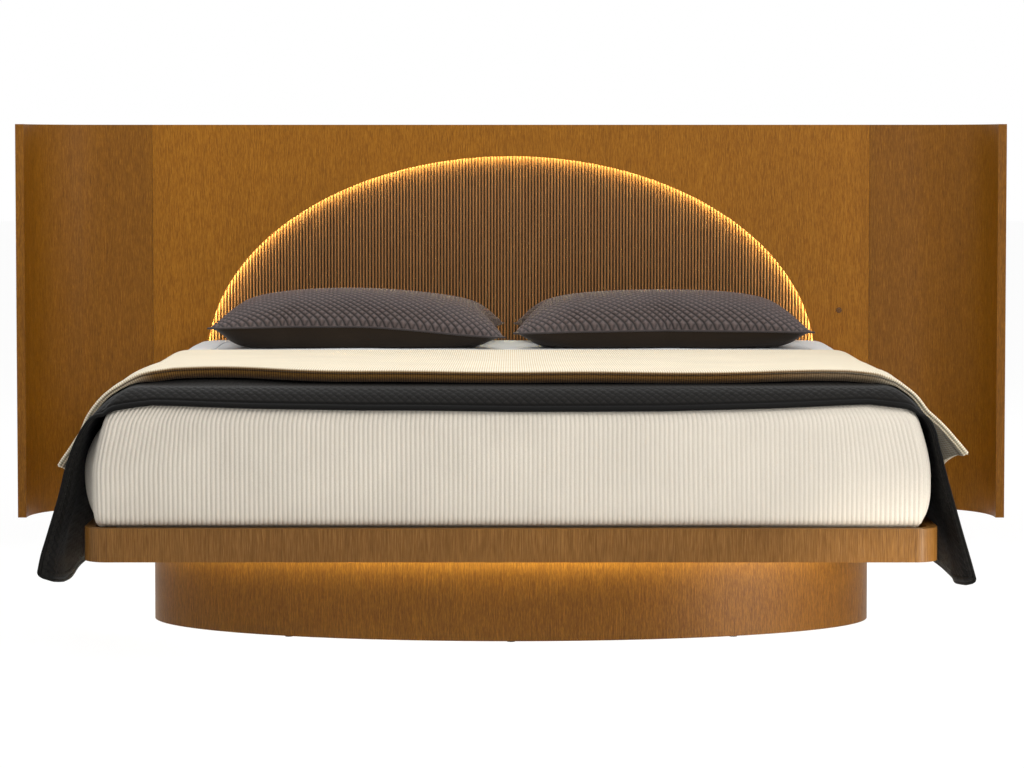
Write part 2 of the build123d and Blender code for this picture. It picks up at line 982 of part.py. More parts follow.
def drape_face(back, low, top_thickness, side_thickness, half_width, fall, outs):
    """One cut across a cloth that lies over the bed and hangs down both sides."""
    drop = 1 - shoulder_share
    radius = cloth_shoulder_radius
    outer_radius = radius + side_thickness
    high = low + top_thickness
    outer_half = half_width + side_thickness
    inner = [(half_width - radius * drop, low), (half_width, low - radius * drop)]
    inner += fall_points(half_width, low, fall, outs)
    outer = [(outer_half - outer_radius * drop, high), (outer_half, high - outer_radius * drop)]
    outer += fall_points(outer_half, low, fall, outs)
    points = list(reversed(inner)) + [(-x, z) for x, z in inner]
    points += [(-x, z) for x, z in reversed(outer)] + outer
    y = at_back(back)
    return make_face(Polyline(*[(x, y, z) for x, z in points], close=True))


def throw_section(along, fall_share, flare_shares):
    return drape_face(
        throw_front_back + throw_length * along,
        throw_low,
        throw_thickness,
        throw_thickness,
        throw_half_width,
        throw_fall * fall_share,
        stand_outs(throw_rim_pass, throw_flare, flare_shares),
    )


def throw():
    """The throw across the foot, with its narrow hem over the front edge."""
    sections = [
        throw_section(*shares)
        for shares in zip(throw_along_shares, throw_fall_shares, throw_flare_shares)
    ]
    flap_rear = throw_front_back - cloth_gap
    flap_front = flap_rear - throw_thickness
    half = mattress_width / 2 - mattress_corner_radius
    flap = block(-half, half, flap_front, flap_rear, throw_front_hem_height, throw_high)
    joint = block(-half, half, flap_rear, throw_front_back, throw_low, throw_high)
    return loft(sections, ruled=True) + flap + joint


def blanket_section(along, top_share, side_share, fall_share, flare_shares):
    return drape_face(
        blanket_front_back + blanket_length * along,
        blanket_low,
        blanket_fold_thickness * top_share,
        blanket_side_thickness * side_share,
        blanket_half_width,
        blanket_fall * fall_share,
        stand_outs(blanket_rim_pass, blanket_flare, flare_shares),
    )


def blanket():
    """The blanket behind it, thick at its folded front edge."""
    shares = zip(
        blanket_along_shares,
        blanket_top_shares,
        blanket_side_shares,
        blanket_fall_shares,
        blanket_flare_shares,
    )
    return loft([blanket_section(*section) for section in shares], ruled=True)


save("foot_throw", throw())
save("blanket", blanket())


# Pillows


def pillow(x_centre):
    """A filled pillow lying flat, as a row of lens shapes from end to end."""
    low = mattress_top + sheet_thickness + cloth_gap
    seam_z = low + pillow_height * pillow_seam_share
    up = low + pillow_height - seam_z
    down = seam_z - low
    y = at_back(pillow_back)
    sections = []
    for along, fill, depth in zip(pillow_along_shares, pillow_fill_shares, pillow_depth_shares):
        x = x_centre + pillow_width / 2 * along
        half = pillow_depth / 2 * depth
        top = ThreePointArc((x, y - half, seam_z), (x, y, seam_z + up * fill), (x, y + half, seam_z))
        under = ThreePointArc(
            (x, y + half, seam_z), (x, y, seam_z - down * fill), (x, y - half, seam_z)
        )
        sections.append(make_face(Curve() + [top, under]))
    return loft(sections)


pillow_centre = (pillow_width + pillow_gap) / 2
save_pair("pillow", pillow(pillow_centre))
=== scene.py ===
"""Looks for the platform bed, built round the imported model. Metres, in the row frame.

Left and right are as seen from the foot of the bed: left is -X, the foot is -Y.
"""

import json
import math

import bpy
import numpy as np
from mathutils.bvhtree import BVHTree
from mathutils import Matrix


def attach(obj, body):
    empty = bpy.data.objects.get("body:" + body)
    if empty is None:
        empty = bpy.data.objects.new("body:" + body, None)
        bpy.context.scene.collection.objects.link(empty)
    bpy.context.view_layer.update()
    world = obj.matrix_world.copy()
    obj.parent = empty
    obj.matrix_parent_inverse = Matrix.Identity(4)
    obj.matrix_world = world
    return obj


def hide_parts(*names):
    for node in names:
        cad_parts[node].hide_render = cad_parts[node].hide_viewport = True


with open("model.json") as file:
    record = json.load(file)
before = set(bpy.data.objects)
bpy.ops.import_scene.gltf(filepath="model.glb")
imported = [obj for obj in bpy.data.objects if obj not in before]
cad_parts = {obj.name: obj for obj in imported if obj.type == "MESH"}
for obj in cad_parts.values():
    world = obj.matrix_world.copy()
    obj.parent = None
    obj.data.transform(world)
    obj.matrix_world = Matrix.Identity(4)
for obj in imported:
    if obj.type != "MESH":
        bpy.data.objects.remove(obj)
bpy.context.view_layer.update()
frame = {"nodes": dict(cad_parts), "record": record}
nodes = frame["nodes"]

# Sizes shared with the construction
MATTRESS_HALF = 0.965
MATTRESS_TOP = 0.602
FRONT_Y = -1.060
COVER_REAR_Y = 0.448
BED_REAR_Y = 0.982
RIM_TOP = 0.300
RIM_JOINT = 0.936
COVER_EDGE = 0.076
REED_CREST = 1.0305
ARCH_FOOT, ARCH_HALF, ARCH_RISE = 0.539, 0.919, 0.617
PILLOW_FLOOR, PILLOW_Y = 0.6068, 0.688

# Upper surfaces of the layers, and the front of the covered mattress, as modelled here
COVERLET_TOP, SHEET_TOP, THROW_TOP = 0.610, 0.606, 0.6205
COVERED_FRONT = FRONT_Y - 0.0036
# How far behind its front corner the cover's left side takes to swell out
SWELL_RUN = 0.15

# Quilting: the distance between lines, how deep those that run the second way are against the
# first, and so how dark their painted shade is, and how dark the painted shade of a plain hem is
THROW_PITCH = 0.0205
PILLOW_PITCH = 0.0255
SECOND_LINES = 0.76
HEM_PAINTED_SHADE = 0.72


def linear(red, green, blue):
    """A colour given as 0 to 255 display values, as Blender's linear RGBA."""
    out = []
    for value in (red, green, blue):
        v = value / 255
        out.append(v / 12.92 if v <= 0.04045 else ((v + 0.055) / 1.055) ** 2.4)
    return (*out, 1.0)


# Materials


class Nodes:
    """Builds the node tree of a new material or world."""

    def __init__(self, name, kind="materials"):
        self.made = getattr(bpy.data, kind).new(name)
        self.made.use_nodes = True
        self.tree = self.made.node_tree
        self.tree.nodes.clear()

    def add(self, kind, settings=None, **inputs):
        node = self.tree.nodes.new(kind)
        for key, value in (settings or {}).items():
            setattr(node, key, value)
        for key, value in inputs.items():
            self.put(node, key, value)
        return node

    def put(self, node, key, value):
        """Links or sets one input, named by i and its number, or by its name with _ for spaces."""
        by_number = key[0] == "i" and key[1:].isdigit()
        socket = node.inputs[int(key[1:]) if by_number else key.replace("_", " ")]
        if isinstance(value, bpy.types.NodeSocket):
            self.tree.links.new(value, socket)
        else:
            socket.default_value = value

    def math(self, operation, a, b=0.0, c=None, clamp=False):
        node = self.add("ShaderNodeMath", {"operation": operation, "use_clamp": clamp}, i0=a, i1=b)
        if c is not None:
            self.put(node, "i2", c)
        return node.outputs[0]

    def total(self, *shares):
        """The sum of outputs, each times its share."""
        out = 0.0
        for value, share in shares:
            out = self.math("MULTIPLY_ADD", value, share, out)
        return out

    def mix(self, factor, a, b, kind="MIX"):
        settings = {"data_type": "RGBA", "blend_type": kind}
        return self.add("ShaderNodeMix", settings, i0=factor, i6=a, i7=b).outputs[2]

    def toned(self, colour, tone):
        """A colour made lighter or darker by a factor."""
        grey = self.add("ShaderNodeCombineColor", Red=tone, Green=tone, Blue=tone).outputs[0]
        return self.mix(1.0, colour, grey, "MULTIPLY")

    def ramp(self, value, *stops):
        """Colours, given as display values, at places along a ramp."""
        node = self.add("ShaderNodeValToRGB", i0=value)
        elements = node.color_ramp.elements
        while len(elements) < len(stops):
            elements.new(0.5)
        for element, (place, colour) in zip(elements, stops):
            element.position = place
            element.color = linear(*colour)
        return node.outputs[0]

    def span(self, value, low, high, to_low=0.0, to_high=1.0):
        """Maps low to high on to_low to to_high, and no further."""
        return self.add(
            "ShaderNodeMapRange", {"clamp": True}, i0=value, i1=low, i2=high, i3=to_low, i4=to_high,
        ).outputs[0]

    def vary(self, noise, low, high):
        """Maps the values that a noise mostly has on low to high."""
        return self.span(noise, 0.3, 0.7, low, high)

    def place(self, scale=(1, 1, 1)):
        """Object coordinates, which are the row frame's, scaled."""
        coordinates = self.add("ShaderNodeTexCoord").outputs["Object"]
        return self.add("ShaderNodeMapping", Vector=coordinates, Scale=scale).outputs[0]

    def cloth_place(self):
        """Places on the flat cloth, in metres; the third number is the piece's own."""
        return self.add("ShaderNodeAttribute", {"attribute_name": "flat"}).outputs["Vector"]

    def parts(self, vector):
        """The three numbers of a vector."""
        return self.add("ShaderNodeSeparateXYZ", Vector=vector).outputs

    def noise(self, vector, scale, detail=2.0, roughness=0.5):
        return self.add(
            "ShaderNodeTexNoise", Vector=vector, Scale=scale, Detail=detail, Roughness=roughness,
        ).outputs[0]

    def waves(self, value, pitch):
        return self.math("SINE", self.math("MULTIPLY", value, 2 * math.pi / pitch))

    def bump(self, height, strength, distance):
        node = self.add("ShaderNodeBump", Height=height, Strength=strength, Distance=distance)
        return node.outputs[0]

    def blend(self, share, a, b):
        """Shader a, and as much of shader b as share says."""
        return self.add("ShaderNodeMixShader", i0=share, i1=a.outputs[0], i2=b.outputs[0])

    def show(self, shader, kind="ShaderNodeOutputMaterial"):
        self.add(kind, i0=shader.outputs[0])
        return self.made

    def finish(self, **inputs):
        return self.show(self.add("ShaderNodeBsdfPrincipled", **inputs))


def wood(name, dark, middle, light, leaf, gloss=0.42, strength=1.0, along="z", groove=False,
         relief=0.3, joint=0.0, draw=1.0, fine=1.0):
    """Quarter-cut veneer: fine fibres, open pores and slow changes of tone. leaf is the width of a
    leaf of veneer, and joint how far from the middle a fine dark joint shows on either side; a
    smaller draw makes longer fibres and a larger fine makes thinner ones."""
    n = Nodes(name)

    def streaks(length, scale, detail, roughness):
        """Noise drawn out along the grain."""
        shape = tuple(fine * length * draw if axis == along else fine for axis in "xyz")
        return n.noise(n.place(shape), scale, detail, roughness)

    fibres = streaks(0.028, 640.0, 3.0, 0.62)
    flecks = streaks(0.08, 760.0, 2.0, 0.6)
    bands = streaks(0.02, 34.0, 3.0, 0.55)
    pores = streaks(0.05, 1100.0, 1.0, 0.4)
    slow = n.noise(n.place((1, 1, 0.6)), 3.2)
    across, depth, height = n.parts(n.place())
    strip = n.math("FLOOR", n.math("DIVIDE", across, leaf))
    leaves = n.add("ShaderNodeTexWhiteNoise", {"noise_dimensions": "1D"}, W=strip).outputs[0]
    grain = n.total((fibres, 0.58), (flecks, 0.42))
    colour = n.ramp(grain, (0.38, dark), (0.5, middle), (0.62, light))
    tone = n.total((slow, 0.42), (bands, 0.38), (leaves, 0.07))
    colour = n.toned(colour, n.span(tone, 0.24, 0.62, 0.87, 1.12))
    holes = n.span(pores, 0.60, 0.72)
    colour = n.mix(n.math("MULTIPLY", holes, 0.5 * strength), colour, linear(*dark))
    if groove:
        # Painted shadow, with some stain, darkens the gaps between the reeds, whose crests are the
        # part nearest the foot; near the arch's edge it gives way to painted light from the arch's
        # strip.
        wide = n.math("POWER", n.math("DIVIDE", across, ARCH_HALF), 2.0)
        rise = n.math("DIVIDE", n.math("SUBTRACT", height, ARCH_FOOT), ARCH_RISE)
        reach = n.math("SQRT", n.math("ADD", wide, n.math("POWER", rise, 2.0)))
        lit = n.span(reach, 0.90, 1.0, 1.0, 0.62)
        between = n.span(depth, REED_CREST + 0.0001, REED_CREST + 0.0013, 0.0, 0.98)
        colour = n.mix(n.math("MULTIPLY", between, lit), colour, linear(18, 8, 2))
    if joint:
        off = n.math("ABSOLUTE", n.math("SUBTRACT", n.math("ABSOLUTE", across), joint))
        colour = n.mix(n.span(off, 0.0004, 0.0012, 0.6, 0.0), colour, linear(58, 32, 12))
    return n.finish(
        Base_Color=colour, Roughness=n.vary(grain, gloss + 0.06, gloss - 0.05),
        Specular_IOR_Level=0.19,
        Normal=n.bump(n.math("SUBTRACT", n.math("MULTIPLY", fibres, 0.6), holes), relief, 0.0003),
    )


def plain(name, colour, roughness, metallic, grain, depth, spread, stretch=(1, 1, 1)):
    """Metal or plastic: a fine texture that varies colour, gloss and surface a little."""
    n = Nodes(name)
    fine = n.noise(n.place(stretch), grain, 3.0, 0.55)
    slow = n.noise(n.place(), 9.0)
    tone = n.vary(n.total((fine, 0.6), (slow, 0.4)), 1 - spread, 1 + spread)
    return n.finish(
        Base_Color=n.toned(colour, tone), Metallic=metallic,
        Roughness=n.vary(fine, roughness - 0.05, roughness + 0.07),
        Normal=n.bump(fine, 0.3, depth),
    )


def glow(name, colour, strength):
    """A diffuser with warm light behind it."""
    n = Nodes(name)
    fine = n.noise(n.place(), 60.0, 1.0)
    shade = n.mix(n.vary(fine, 0.0, 0.12), (*colour, 1), (1, 0.9, 0.7, 1))
    return n.finish(
        Base_Color=(0.9, 0.82, 0.62, 1), Roughness=0.5,
        Emission_Color=shade, Emission_Strength=strength,
    )


def cloth(name, colour, shade, roughness, sheen, pitch, fuzz, depth, mottle,
          tint=None, stitch_shade=(), shine=0.25):
    """Woven cloth: threads, a soft nap and slow unevenness; stitch_shade gives the pitch, depth and
    breadth of painted shade along the quilting lines, which the third number of a place on the
    cloth leaves out, giving the plain hem's painted shade there instead."""
    n = Nodes(name)
    flat = n.cloth_place()
    across, along, plain_share = n.parts(flat)
    weave = n.math("MULTIPLY", n.waves(across, pitch), n.waves(along, pitch))
    threads = n.math("MULTIPLY_ADD", weave, 0.5, 0.5)
    nap = n.noise(n.place(), fuzz, 2.0, 0.6)
    slow = n.noise(n.place(), 7.0)
    mixed = n.total((threads, 0.45), (nap, 0.55))
    base = n.mix(n.span(mixed, 0.25, 0.6), linear(*shade), linear(*colour))
    base = n.toned(base, n.vary(slow, 1 - mottle, 1 + mottle))
    if stitch_shade:
        # Painted shade in the creases along the quilting lines, weaker along the second lines; a
        # plain hem has painted shade of its own.
        pitch_apart, deep, broad = stitch_shade
        lines = []
        for kind, share in (("ADD", 1.0), ("SUBTRACT", SECOND_LINES)):
            away = n.math("ABSOLUTE", n.waves(n.math(kind, across, along), 2 * pitch_apart))
            lines.append(n.span(away, 0.05, broad, deep * share, 0.0))
        near = n.math("MAXIMUM", *lines)
        near = n.math("MULTIPLY", near, n.math("SUBTRACT", 1.0, plain_share, clamp=True))
        near = n.math("MULTIPLY_ADD", plain_share, HEM_PAINTED_SHADE, near, clamp=True)
        base = n.mix(near, base, (0.0, 0.0, 0.0, 1))
    tinted = {} if tint is None else {"Sheen_Tint": tint}
    return n.finish(
        Base_Color=base, Roughness=roughness, Specular_IOR_Level=shine, Sheen_Weight=sheen,
        Sheen_Roughness=0.45, Normal=n.bump(mixed, 0.6, depth), **tinted,
    )


def wool():
    """A thick knit: ribs and courses under a nap, and a dark brown painted shade for its undersides
    and folds. The third number of a place on the cloth says how much of that painted shade it has."""
    rib, course = 0.0056, 0.0110
    n = Nodes("blanket_wool")
    across, along, shade_share = n.parts(n.cloth_place())
    knit = n.math("MULTIPLY_ADD", n.waves(across, rib), 0.26, 0.5)
    knit = n.math("MULTIPLY_ADD", n.waves(along, course), 0.14, knit)
    nap = n.noise(n.place(), 420.0, 3.0, 0.65)
    slow = n.noise(n.place(), 6.0)
    loft = n.total((knit, 0.68), (nap, 0.32))
    face = n.ramp(loft, (0.26, (214, 187, 144)), (0.50, (253, 239, 209)), (0.72, (255, 252, 234)))
    # Painted shade: dark brown where the wool faces down into shade.
    underside_shade = n.ramp(loft, (0.30, (82, 54, 18)), (0.50, (124, 86, 36)), (0.70, (158, 118, 62)))
    colour = n.toned(n.mix(shade_share, face, underside_shade), n.vary(slow, 0.96, 1.04))
    return n.finish(
        Base_Color=colour, Roughness=0.9, Specular_IOR_Level=0.2, Sheen_Weight=0.2,
        Sheen_Roughness=0.5, Normal=n.bump(loft, 0.8, 0.0014),
    )


# Dark, middle and light tones, and what else makes each wood its own
WOODS = {
    "oak_panel": ((114, 68, 8), (145, 91, 14), (172, 116, 32), dict(leaf=0.27, draw=0.9, fine=1.4)),
    # The wings' curved faces: the panel's oak about 0.86 as light, as painted shade.
    "oak_panel_shaded": ((97, 57, 6), (124, 77, 11), (149, 99, 26), dict(leaf=0.27, draw=0.9, fine=1.4)),
    "oak_reeds": (
        (138, 95, 55), (152, 106, 62), (165, 118, 72),
        dict(leaf=0.0095, gloss=0.50, strength=0.12, groove=True, relief=0.04, draw=0.22),
    ),
    "oak_rim": (
        (96, 61, 21), (126, 85, 36), (153, 110, 58),
        dict(leaf=0.21, gloss=0.34, strength=0.6, joint=RIM_JOINT, draw=0.3, fine=1.6),
    ),
    "oak_plinth": (
        (78, 45, 3), (100, 62, 7), (126, 83, 20),
        dict(leaf=0.24, gloss=0.46, strength=0.7, draw=0.9, fine=1.5),
    ),
    "plywood": (
        (176, 138, 92), (206, 172, 124), (222, 192, 148),
        dict(leaf=0.3, gloss=0.6, strength=0.4, along="x"),
    ),
    "softwood": (
        (188, 148, 98), (216, 184, 136), (230, 204, 160),
        dict(leaf=0.1, gloss=0.6, strength=0.3, along="x"),
    ),
}
MATERIALS = {slot: wood(f"{slot}_wood", *tones, **rest) for slot, (*tones, rest) in WOODS.items()}

# Colour, roughness, metallic, texture's fineness and depth, spread of tone, texture's stretch
ALUMINIUM, STEEL = (0.75, 0.75, 0.76, 1), (0.6, 0.6, 0.61, 1)
MATERIALS |= {
    "light_channel": plain("channel_aluminium", ALUMINIUM, 0.35, 1.0, 300.0, 0.0001, 0.04),
    "warm_diffuser": glow("diffuser_light", (1.0, 0.86, 0.40), 46.0),
    "driver_case": plain("driver_plastic", linear(225, 225, 220), 0.5, 0.0, 260.0, 0.0002, 0.03),
    "cleat_metal": plain(
        "cleat_aluminium", ALUMINIUM, 0.38, 1.0, 220.0, 0.0001, 0.05, (0.05, 1, 1),
    ),
    "steel": plain("bracket_steel", STEEL, 0.34, 1.0, 320.0, 0.0001, 0.05),
    "black_plastic": plain("black_moulding", linear(34, 34, 34), 0.5, 0.0, 400.0, 0.0002, 0.08),
    "bronze": plain("bronze_finish", linear(96, 66, 40), 0.36, 0.85, 500.0, 0.0001, 0.12),
}
OWN_MATERIALS = {
    "base_light_diffuser": glow("base_diffuser_light", (1.0, 1.0, 0.84), 44.0),
    # The wings take the panel's oak with painted shade.
    "wing_left": MATERIALS["oak_panel_shaded"],
    "wing_right": MATERIALS["oak_panel_shaded"],
}

# Colour, shade, roughness, sheen, thread pitch, nap's fineness, depth and mottling; the dark
# ones also have the sheen's tint, the pitch, depth and breadth of the painted shade along their
# quilting lines, and their shine
COVERLET = cloth(
    "coverlet_cotton", (236, 229, 216), (215, 205, 189), 0.88, 0.08, 0.0022, 500.0, 0.0003, 0.03,
)
SHEET = cloth(
    "sheet_cotton", (248, 252, 253), (238, 243, 246), 0.8, 0.25, 0.0009, 700.0, 0.00012, 0.02,
)
THROW = cloth(
    "throw_cotton", (26, 24, 21), (10, 9, 8), 0.66, 0.05, 0.0014, 500.0, 0.0003, 0.08,
    (0.55, 0.56, 0.58, 1), (THROW_PITCH, 0.92, 0.50), 0.13,
)
PILLOW_TOP = cloth(
    "pillow_quilting", (110, 96, 94), (78, 66, 65), 0.44, 0.20, 0.0012, 600.0, 0.0002, 0.05,
    (0.8, 0.74, 0.76, 1), (PILLOW_PITCH, 0.95, 0.95), 0.30,
)
PILLOW_UNDER = cloth(
    "pillow_sateen", (38, 27, 15), (25, 17, 9), 0.5, 0.05, 0.0009, 600.0, 0.00012, 0.05,
    (0.8, 0.75, 0.75, 1), shine=0.16,
)
TICKING = cloth(
    "mattress_ticking", (226, 224, 216), (205, 203, 196), 0.85, 0.2, 0.002, 500.0, 0.0003, 0.03,
)
WOOL = wool()

for part in frame["record"]["subparts"]:
    made = OWN_MATERIALS.get(part["node"]) or MATERIALS.get(part["material_slot"])
    if made is not None:
        data = nodes[part["node"]].data
        data.materials.clear()
        data.materials.append(made)


# Mesh helpers


def smoothstep(low, high, value):
    t = np.clip((value - low) / (high - low), 0, 1)
    return t * t * (3 - 2 * t)


def turned_under(height, rise):
    """How far in a rounded hem of that rise lies: 1 at its lowest, 0 from its rise up."""
    return 1 - np.sqrt(1 - np.clip(1 - height / rise, 0, 1) ** 2)


def unit(vectors):
    return vectors / np.maximum(np.linalg.norm(vectors, axis=-1, keepdims=True), 1e-12)


class Ripples:
    """Smooth seeded unevenness over two coordinates, about -1 to 1."""

    def __init__(self, seed, waves=9, low=1.0, high=4.0):
        draw = np.random.default_rng(seed)
        size, turn = draw.uniform(low, high, waves), draw.uniform(0, 2 * math.pi, waves)
        phase = draw.uniform(0, 2 * math.pi, waves)
        self.waves = list(zip(size * np.cos(turn), size * np.sin(turn), phase, 1 / size))
        self.total = math.sqrt((size ** -2).sum() / 2) * 2

    def __call__(self, u, v):
        out = 0.0
        for a, b, phase, weight in self.waves:
            out = out + weight * np.sin(2 * math.pi * (a * u + b * v) + phase)
        return out / self.total


def cubic(points, places):
    """Values of a smooth curve through points, at fractional places along their first axis."""
    points = np.asarray(points, float)
    places = np.clip(np.asarray(places, float), 0, len(points) - 1)
    i = np.minimum(places.astype(int), len(points) - 2)
    t = (places - i).reshape(-1, *([1] * (points.ndim - 1)))
    a, b = points[np.maximum(i - 1, 0)], points[i]
    c, d = points[i + 1], points[np.minimum(i + 2, len(points) - 1)]
    return b + 0.5 * t * (c - a + t * (2 * a - 5 * b + 4 * c - d + t * (3 * (b - c) + d - a)))


def normals(grid):
    """Unit normals of a (rows, columns, 3) grid."""
    return unit(np.cross(np.gradient(grid, axis=1), np.gradient(grid, axis=0)))


def raised(grid, height):
    """The grid with its points moved out along their normals."""
    return grid + normals(grid) * np.asarray(height)[..., None]


def laid_flat(u, v):
    """Places on the flat cloth; the third number is left 0."""
    u, v = np.broadcast_arrays(u, v)
    return np.stack([u, v, np.zeros(u.shape)], -1)


def from_edge(u, v):
    """How far places on a cloth are from its nearest edge."""
    ends = np.minimum(v - v[:1], v[-1:] - v)
    return np.minimum(ends, np.minimum(u - u[:, :1], u[:, -1:] - u))


def mesh(name, points, faces, material, flat=None, smooth=True, extra=()):
    data = bpy.data.meshes.new(name)
    data.from_pydata(np.asarray(points).reshape(-1, 3).tolist(), [], faces)
    data.update()
    if flat is not None:
        layer = data.attributes.new("flat", "FLOAT_VECTOR", "POINT")
        layer.data.foreach_set("vector", np.asarray(flat, np.float32).ravel())
    for one in (material, *extra):
        data.materials.append(one)
    if smooth:
        data.polygons.foreach_set("use_smooth", np.ones(len(data.polygons), bool))
    made = bpy.data.objects.new(name, data)
    bpy.context.scene.collection.objects.link(made)
    return made


def dress(pieces, body):
    """Rides each piece on a body."""
    for piece in pieces:
        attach(piece, body)


def quads(rows, columns, start=0, flip=False):
    i = (np.arange(rows - 1)[:, None] * columns + np.arange(columns - 1)[None, :]).ravel() + start
    faces = np.stack([i, i + 1, i + columns + 1, i + columns], axis=1)
    return (faces[:, ::-1] if flip else faces).tolist()


def slab(name, outer, thickness, material, flat, round_edge=0.5, inner=None, shade_share=(0, 0, 0)):
    """A closed cloth: outer is its upper surface as a grid whose normals point out; the lower one,
    where inner doesn't give it, lies thickness behind it, and a row round the edge rounds the hem.
    shade_share gives the third number of a place on the cloth for the outer side, the edge and
    the inner side, which sets how much painted shade it has there."""
    rows, columns = outer.shape[:2]
    count = rows * columns
    if inner is None:
        inner = raised(outer, -thickness)
    loop = np.concatenate([
        np.arange(columns), np.arange(1, rows) * columns + columns - 1,
        (rows - 1) * columns + np.arange(columns - 2, -1, -1), np.arange(rows - 2, 0, -1) * columns,
    ])
    inside = np.concatenate([outer[1], outer[1:, -2], outer[-2, -2::-1], outer[rows - 2:0:-1, 1]])
    a, b = outer.reshape(-1, 3), inner.reshape(-1, 3)
    across = np.linalg.norm(a[loop] - b[loop], axis=1)[:, None]
    hem = (a[loop] + b[loop]) / 2 + unit(a[loop] - inside) * across * round_edge
    place = 2 * count + np.arange(len(loop))
    after, loop_after = np.roll(place, -1), np.roll(loop, -1)
    faces = quads(rows, columns) + quads(rows, columns, count, True)
    faces += np.stack([loop_after, loop, place, after], 1).tolist()
    faces += np.stack([after, place, count + loop, count + loop_after], 1).tolist()
    flat = flat.reshape(-1, 3)
    flats = np.concatenate([flat, flat, flat[loop]])
    above, edge, below = (np.broadcast_to(share, (rows, columns)).ravel() for share in shade_share)
    flats[:, 2] = np.concatenate([above, below, edge[loop]])
    return mesh(name, np.concatenate([a, b, hem]), faces, material, flats)


def tube(name, path, radius, material, closed=False):
    """A round bead along a path of points."""
    n, sides = len(path), 8
    if closed:
        ahead = np.roll(path, -1, axis=0) - np.roll(path, 1, axis=0)
    else:
        ahead = np.gradient(path, axis=0)
    ahead = unit(ahead)
    steep = np.abs(ahead[:, 2:]) > 0.9
    side = unit(np.cross(ahead, np.where(steep, [0.0, 1.0, 0.0], [0.0, 0.0, 1.0])))
    up = np.cross(side, ahead)
    turn = np.arange(sides) / sides * 2 * math.pi
    ring = side[:, None] * np.cos(turn)[:, None] + up[:, None] * np.sin(turn)[:, None]
    faces = [
        [k * sides + j, m * sides + j, m * sides + h, k * sides + h]
        for k, m in zip(range(n), [*range(1, n), 0] if closed else range(1, n))
        for j, h in zip(range(sides), [*range(1, sides), 0])
    ]
    if not closed:
        faces.append(list(range(sides)))
        faces.append([(n - 1) * sides + j for j in range(sides - 1, -1, -1)])
    flat = laid_flat((np.arange(n) * 0.004)[:, None], turn * radius)
    # A bead's third number is 1: no quilting lines, and on quilted cloth the plain hem's painted
    # shade.
    flat[..., 2] = 1
    return mesh(name, path[:, None] + ring * radius, faces, material, flat)


# Camera, as the photograph's

IMAGE_WIDTH, IMAGE_HEIGHT, HORIZON_ROW = 1024, 768, 150.0


def look():
    """A long lens at eye height; part of the downward view is lens shift, as it keeps uprights
    upright."""
    data = bpy.data.cameras.new("camera")
    data.sensor_width, data.lens, data.clip_end = 36.0, 101.95, 100
    data.shift_x, data.shift_y = 1 / IMAGE_WIDTH, -0.10
    camera = bpy.data.objects.new("camera", data)
    bpy.context.scene.collection.objects.link(camera)
    below_horizon = IMAGE_HEIGHT / 2 + data.shift_y * IMAGE_WIDTH - HORIZON_ROW
    focal = data.lens / data.sensor_width * IMAGE_WIDTH
    camera.location = (0.0, -7.75, 1.175)
    camera.rotation_euler = (math.pi / 2 - math.atan(below_horizon / focal), 0, 0)
    bpy.context.scene.camera = camera


look()


# Floor, world and lamps

WHITE = (1, 1, 1, 1)


def seen(n):
    """1 where the camera or a mirror or glass sees the surface, 0 where its light falls."""
    path = n.add("ShaderNodeLightPath").outputs
    either = n.math("MAXIMUM", path["Is Camera Ray"], path["Is Glossy Ray"])
    return n.math("MAXIMUM", either, path["Is Transmission Ray"])


def studio():
    """A floor and a world that look white, but shed less light than white ones would."""
    n = Nodes("floor_white")
    paint = n.add("ShaderNodeBsdfDiffuse", Color=(0.9, 0.9, 0.9, 1), Roughness=0.5)
    white = n.add("ShaderNodeEmission", Color=WHITE, Strength=1.05)
    material = n.show(n.blend(n.math("MULTIPLY", seen(n), 0.88), paint, white))
    reach = 40.0
    corners = [(-reach, -reach, 0), (reach, -reach, 0), (reach, reach, 0), (-reach, reach, 0)]
    mesh("floor", corners, [[0, 1, 2, 3]], material, smooth=False)

    w = Nodes("world", "worlds")
    soft = w.add("ShaderNodeBackground", Color=WHITE, Strength=0.44)
    white = w.add("ShaderNodeBackground", Color=WHITE, Strength=1.0)
    bpy.context.scene.world = w.show(w.blend(seen(w), soft, white), "ShaderNodeOutputWorld")


def lamp(name, place, aim, size, power, colour=(1, 1, 1)):
    """A rectangle of light, or a narrow soft-edged beam where size is one angle in degrees."""
    beam = np.isscalar(size)
    data = bpy.data.lights.new(name, "SPOT" if beam else "AREA")
    if beam:
        data.spot_size, data.spot_blend, data.shadow_soft_size = math.radians(size), 0.8, 0.12
    else:
        data.shape = "RECTANGLE"
        data.size, data.size_y = size
    data.energy = power
    data.color = colour
    made = bpy.data.objects.new(name, data)
    made.location = place
    x, y, z = np.array(aim, float) - np.array(place, float)
    made.rotation_euler = (math.atan2(math.hypot(x, y), -z), 0, math.atan2(y, x) - math.pi / 2)
    bpy.context.scene.collection.objects.link(made)


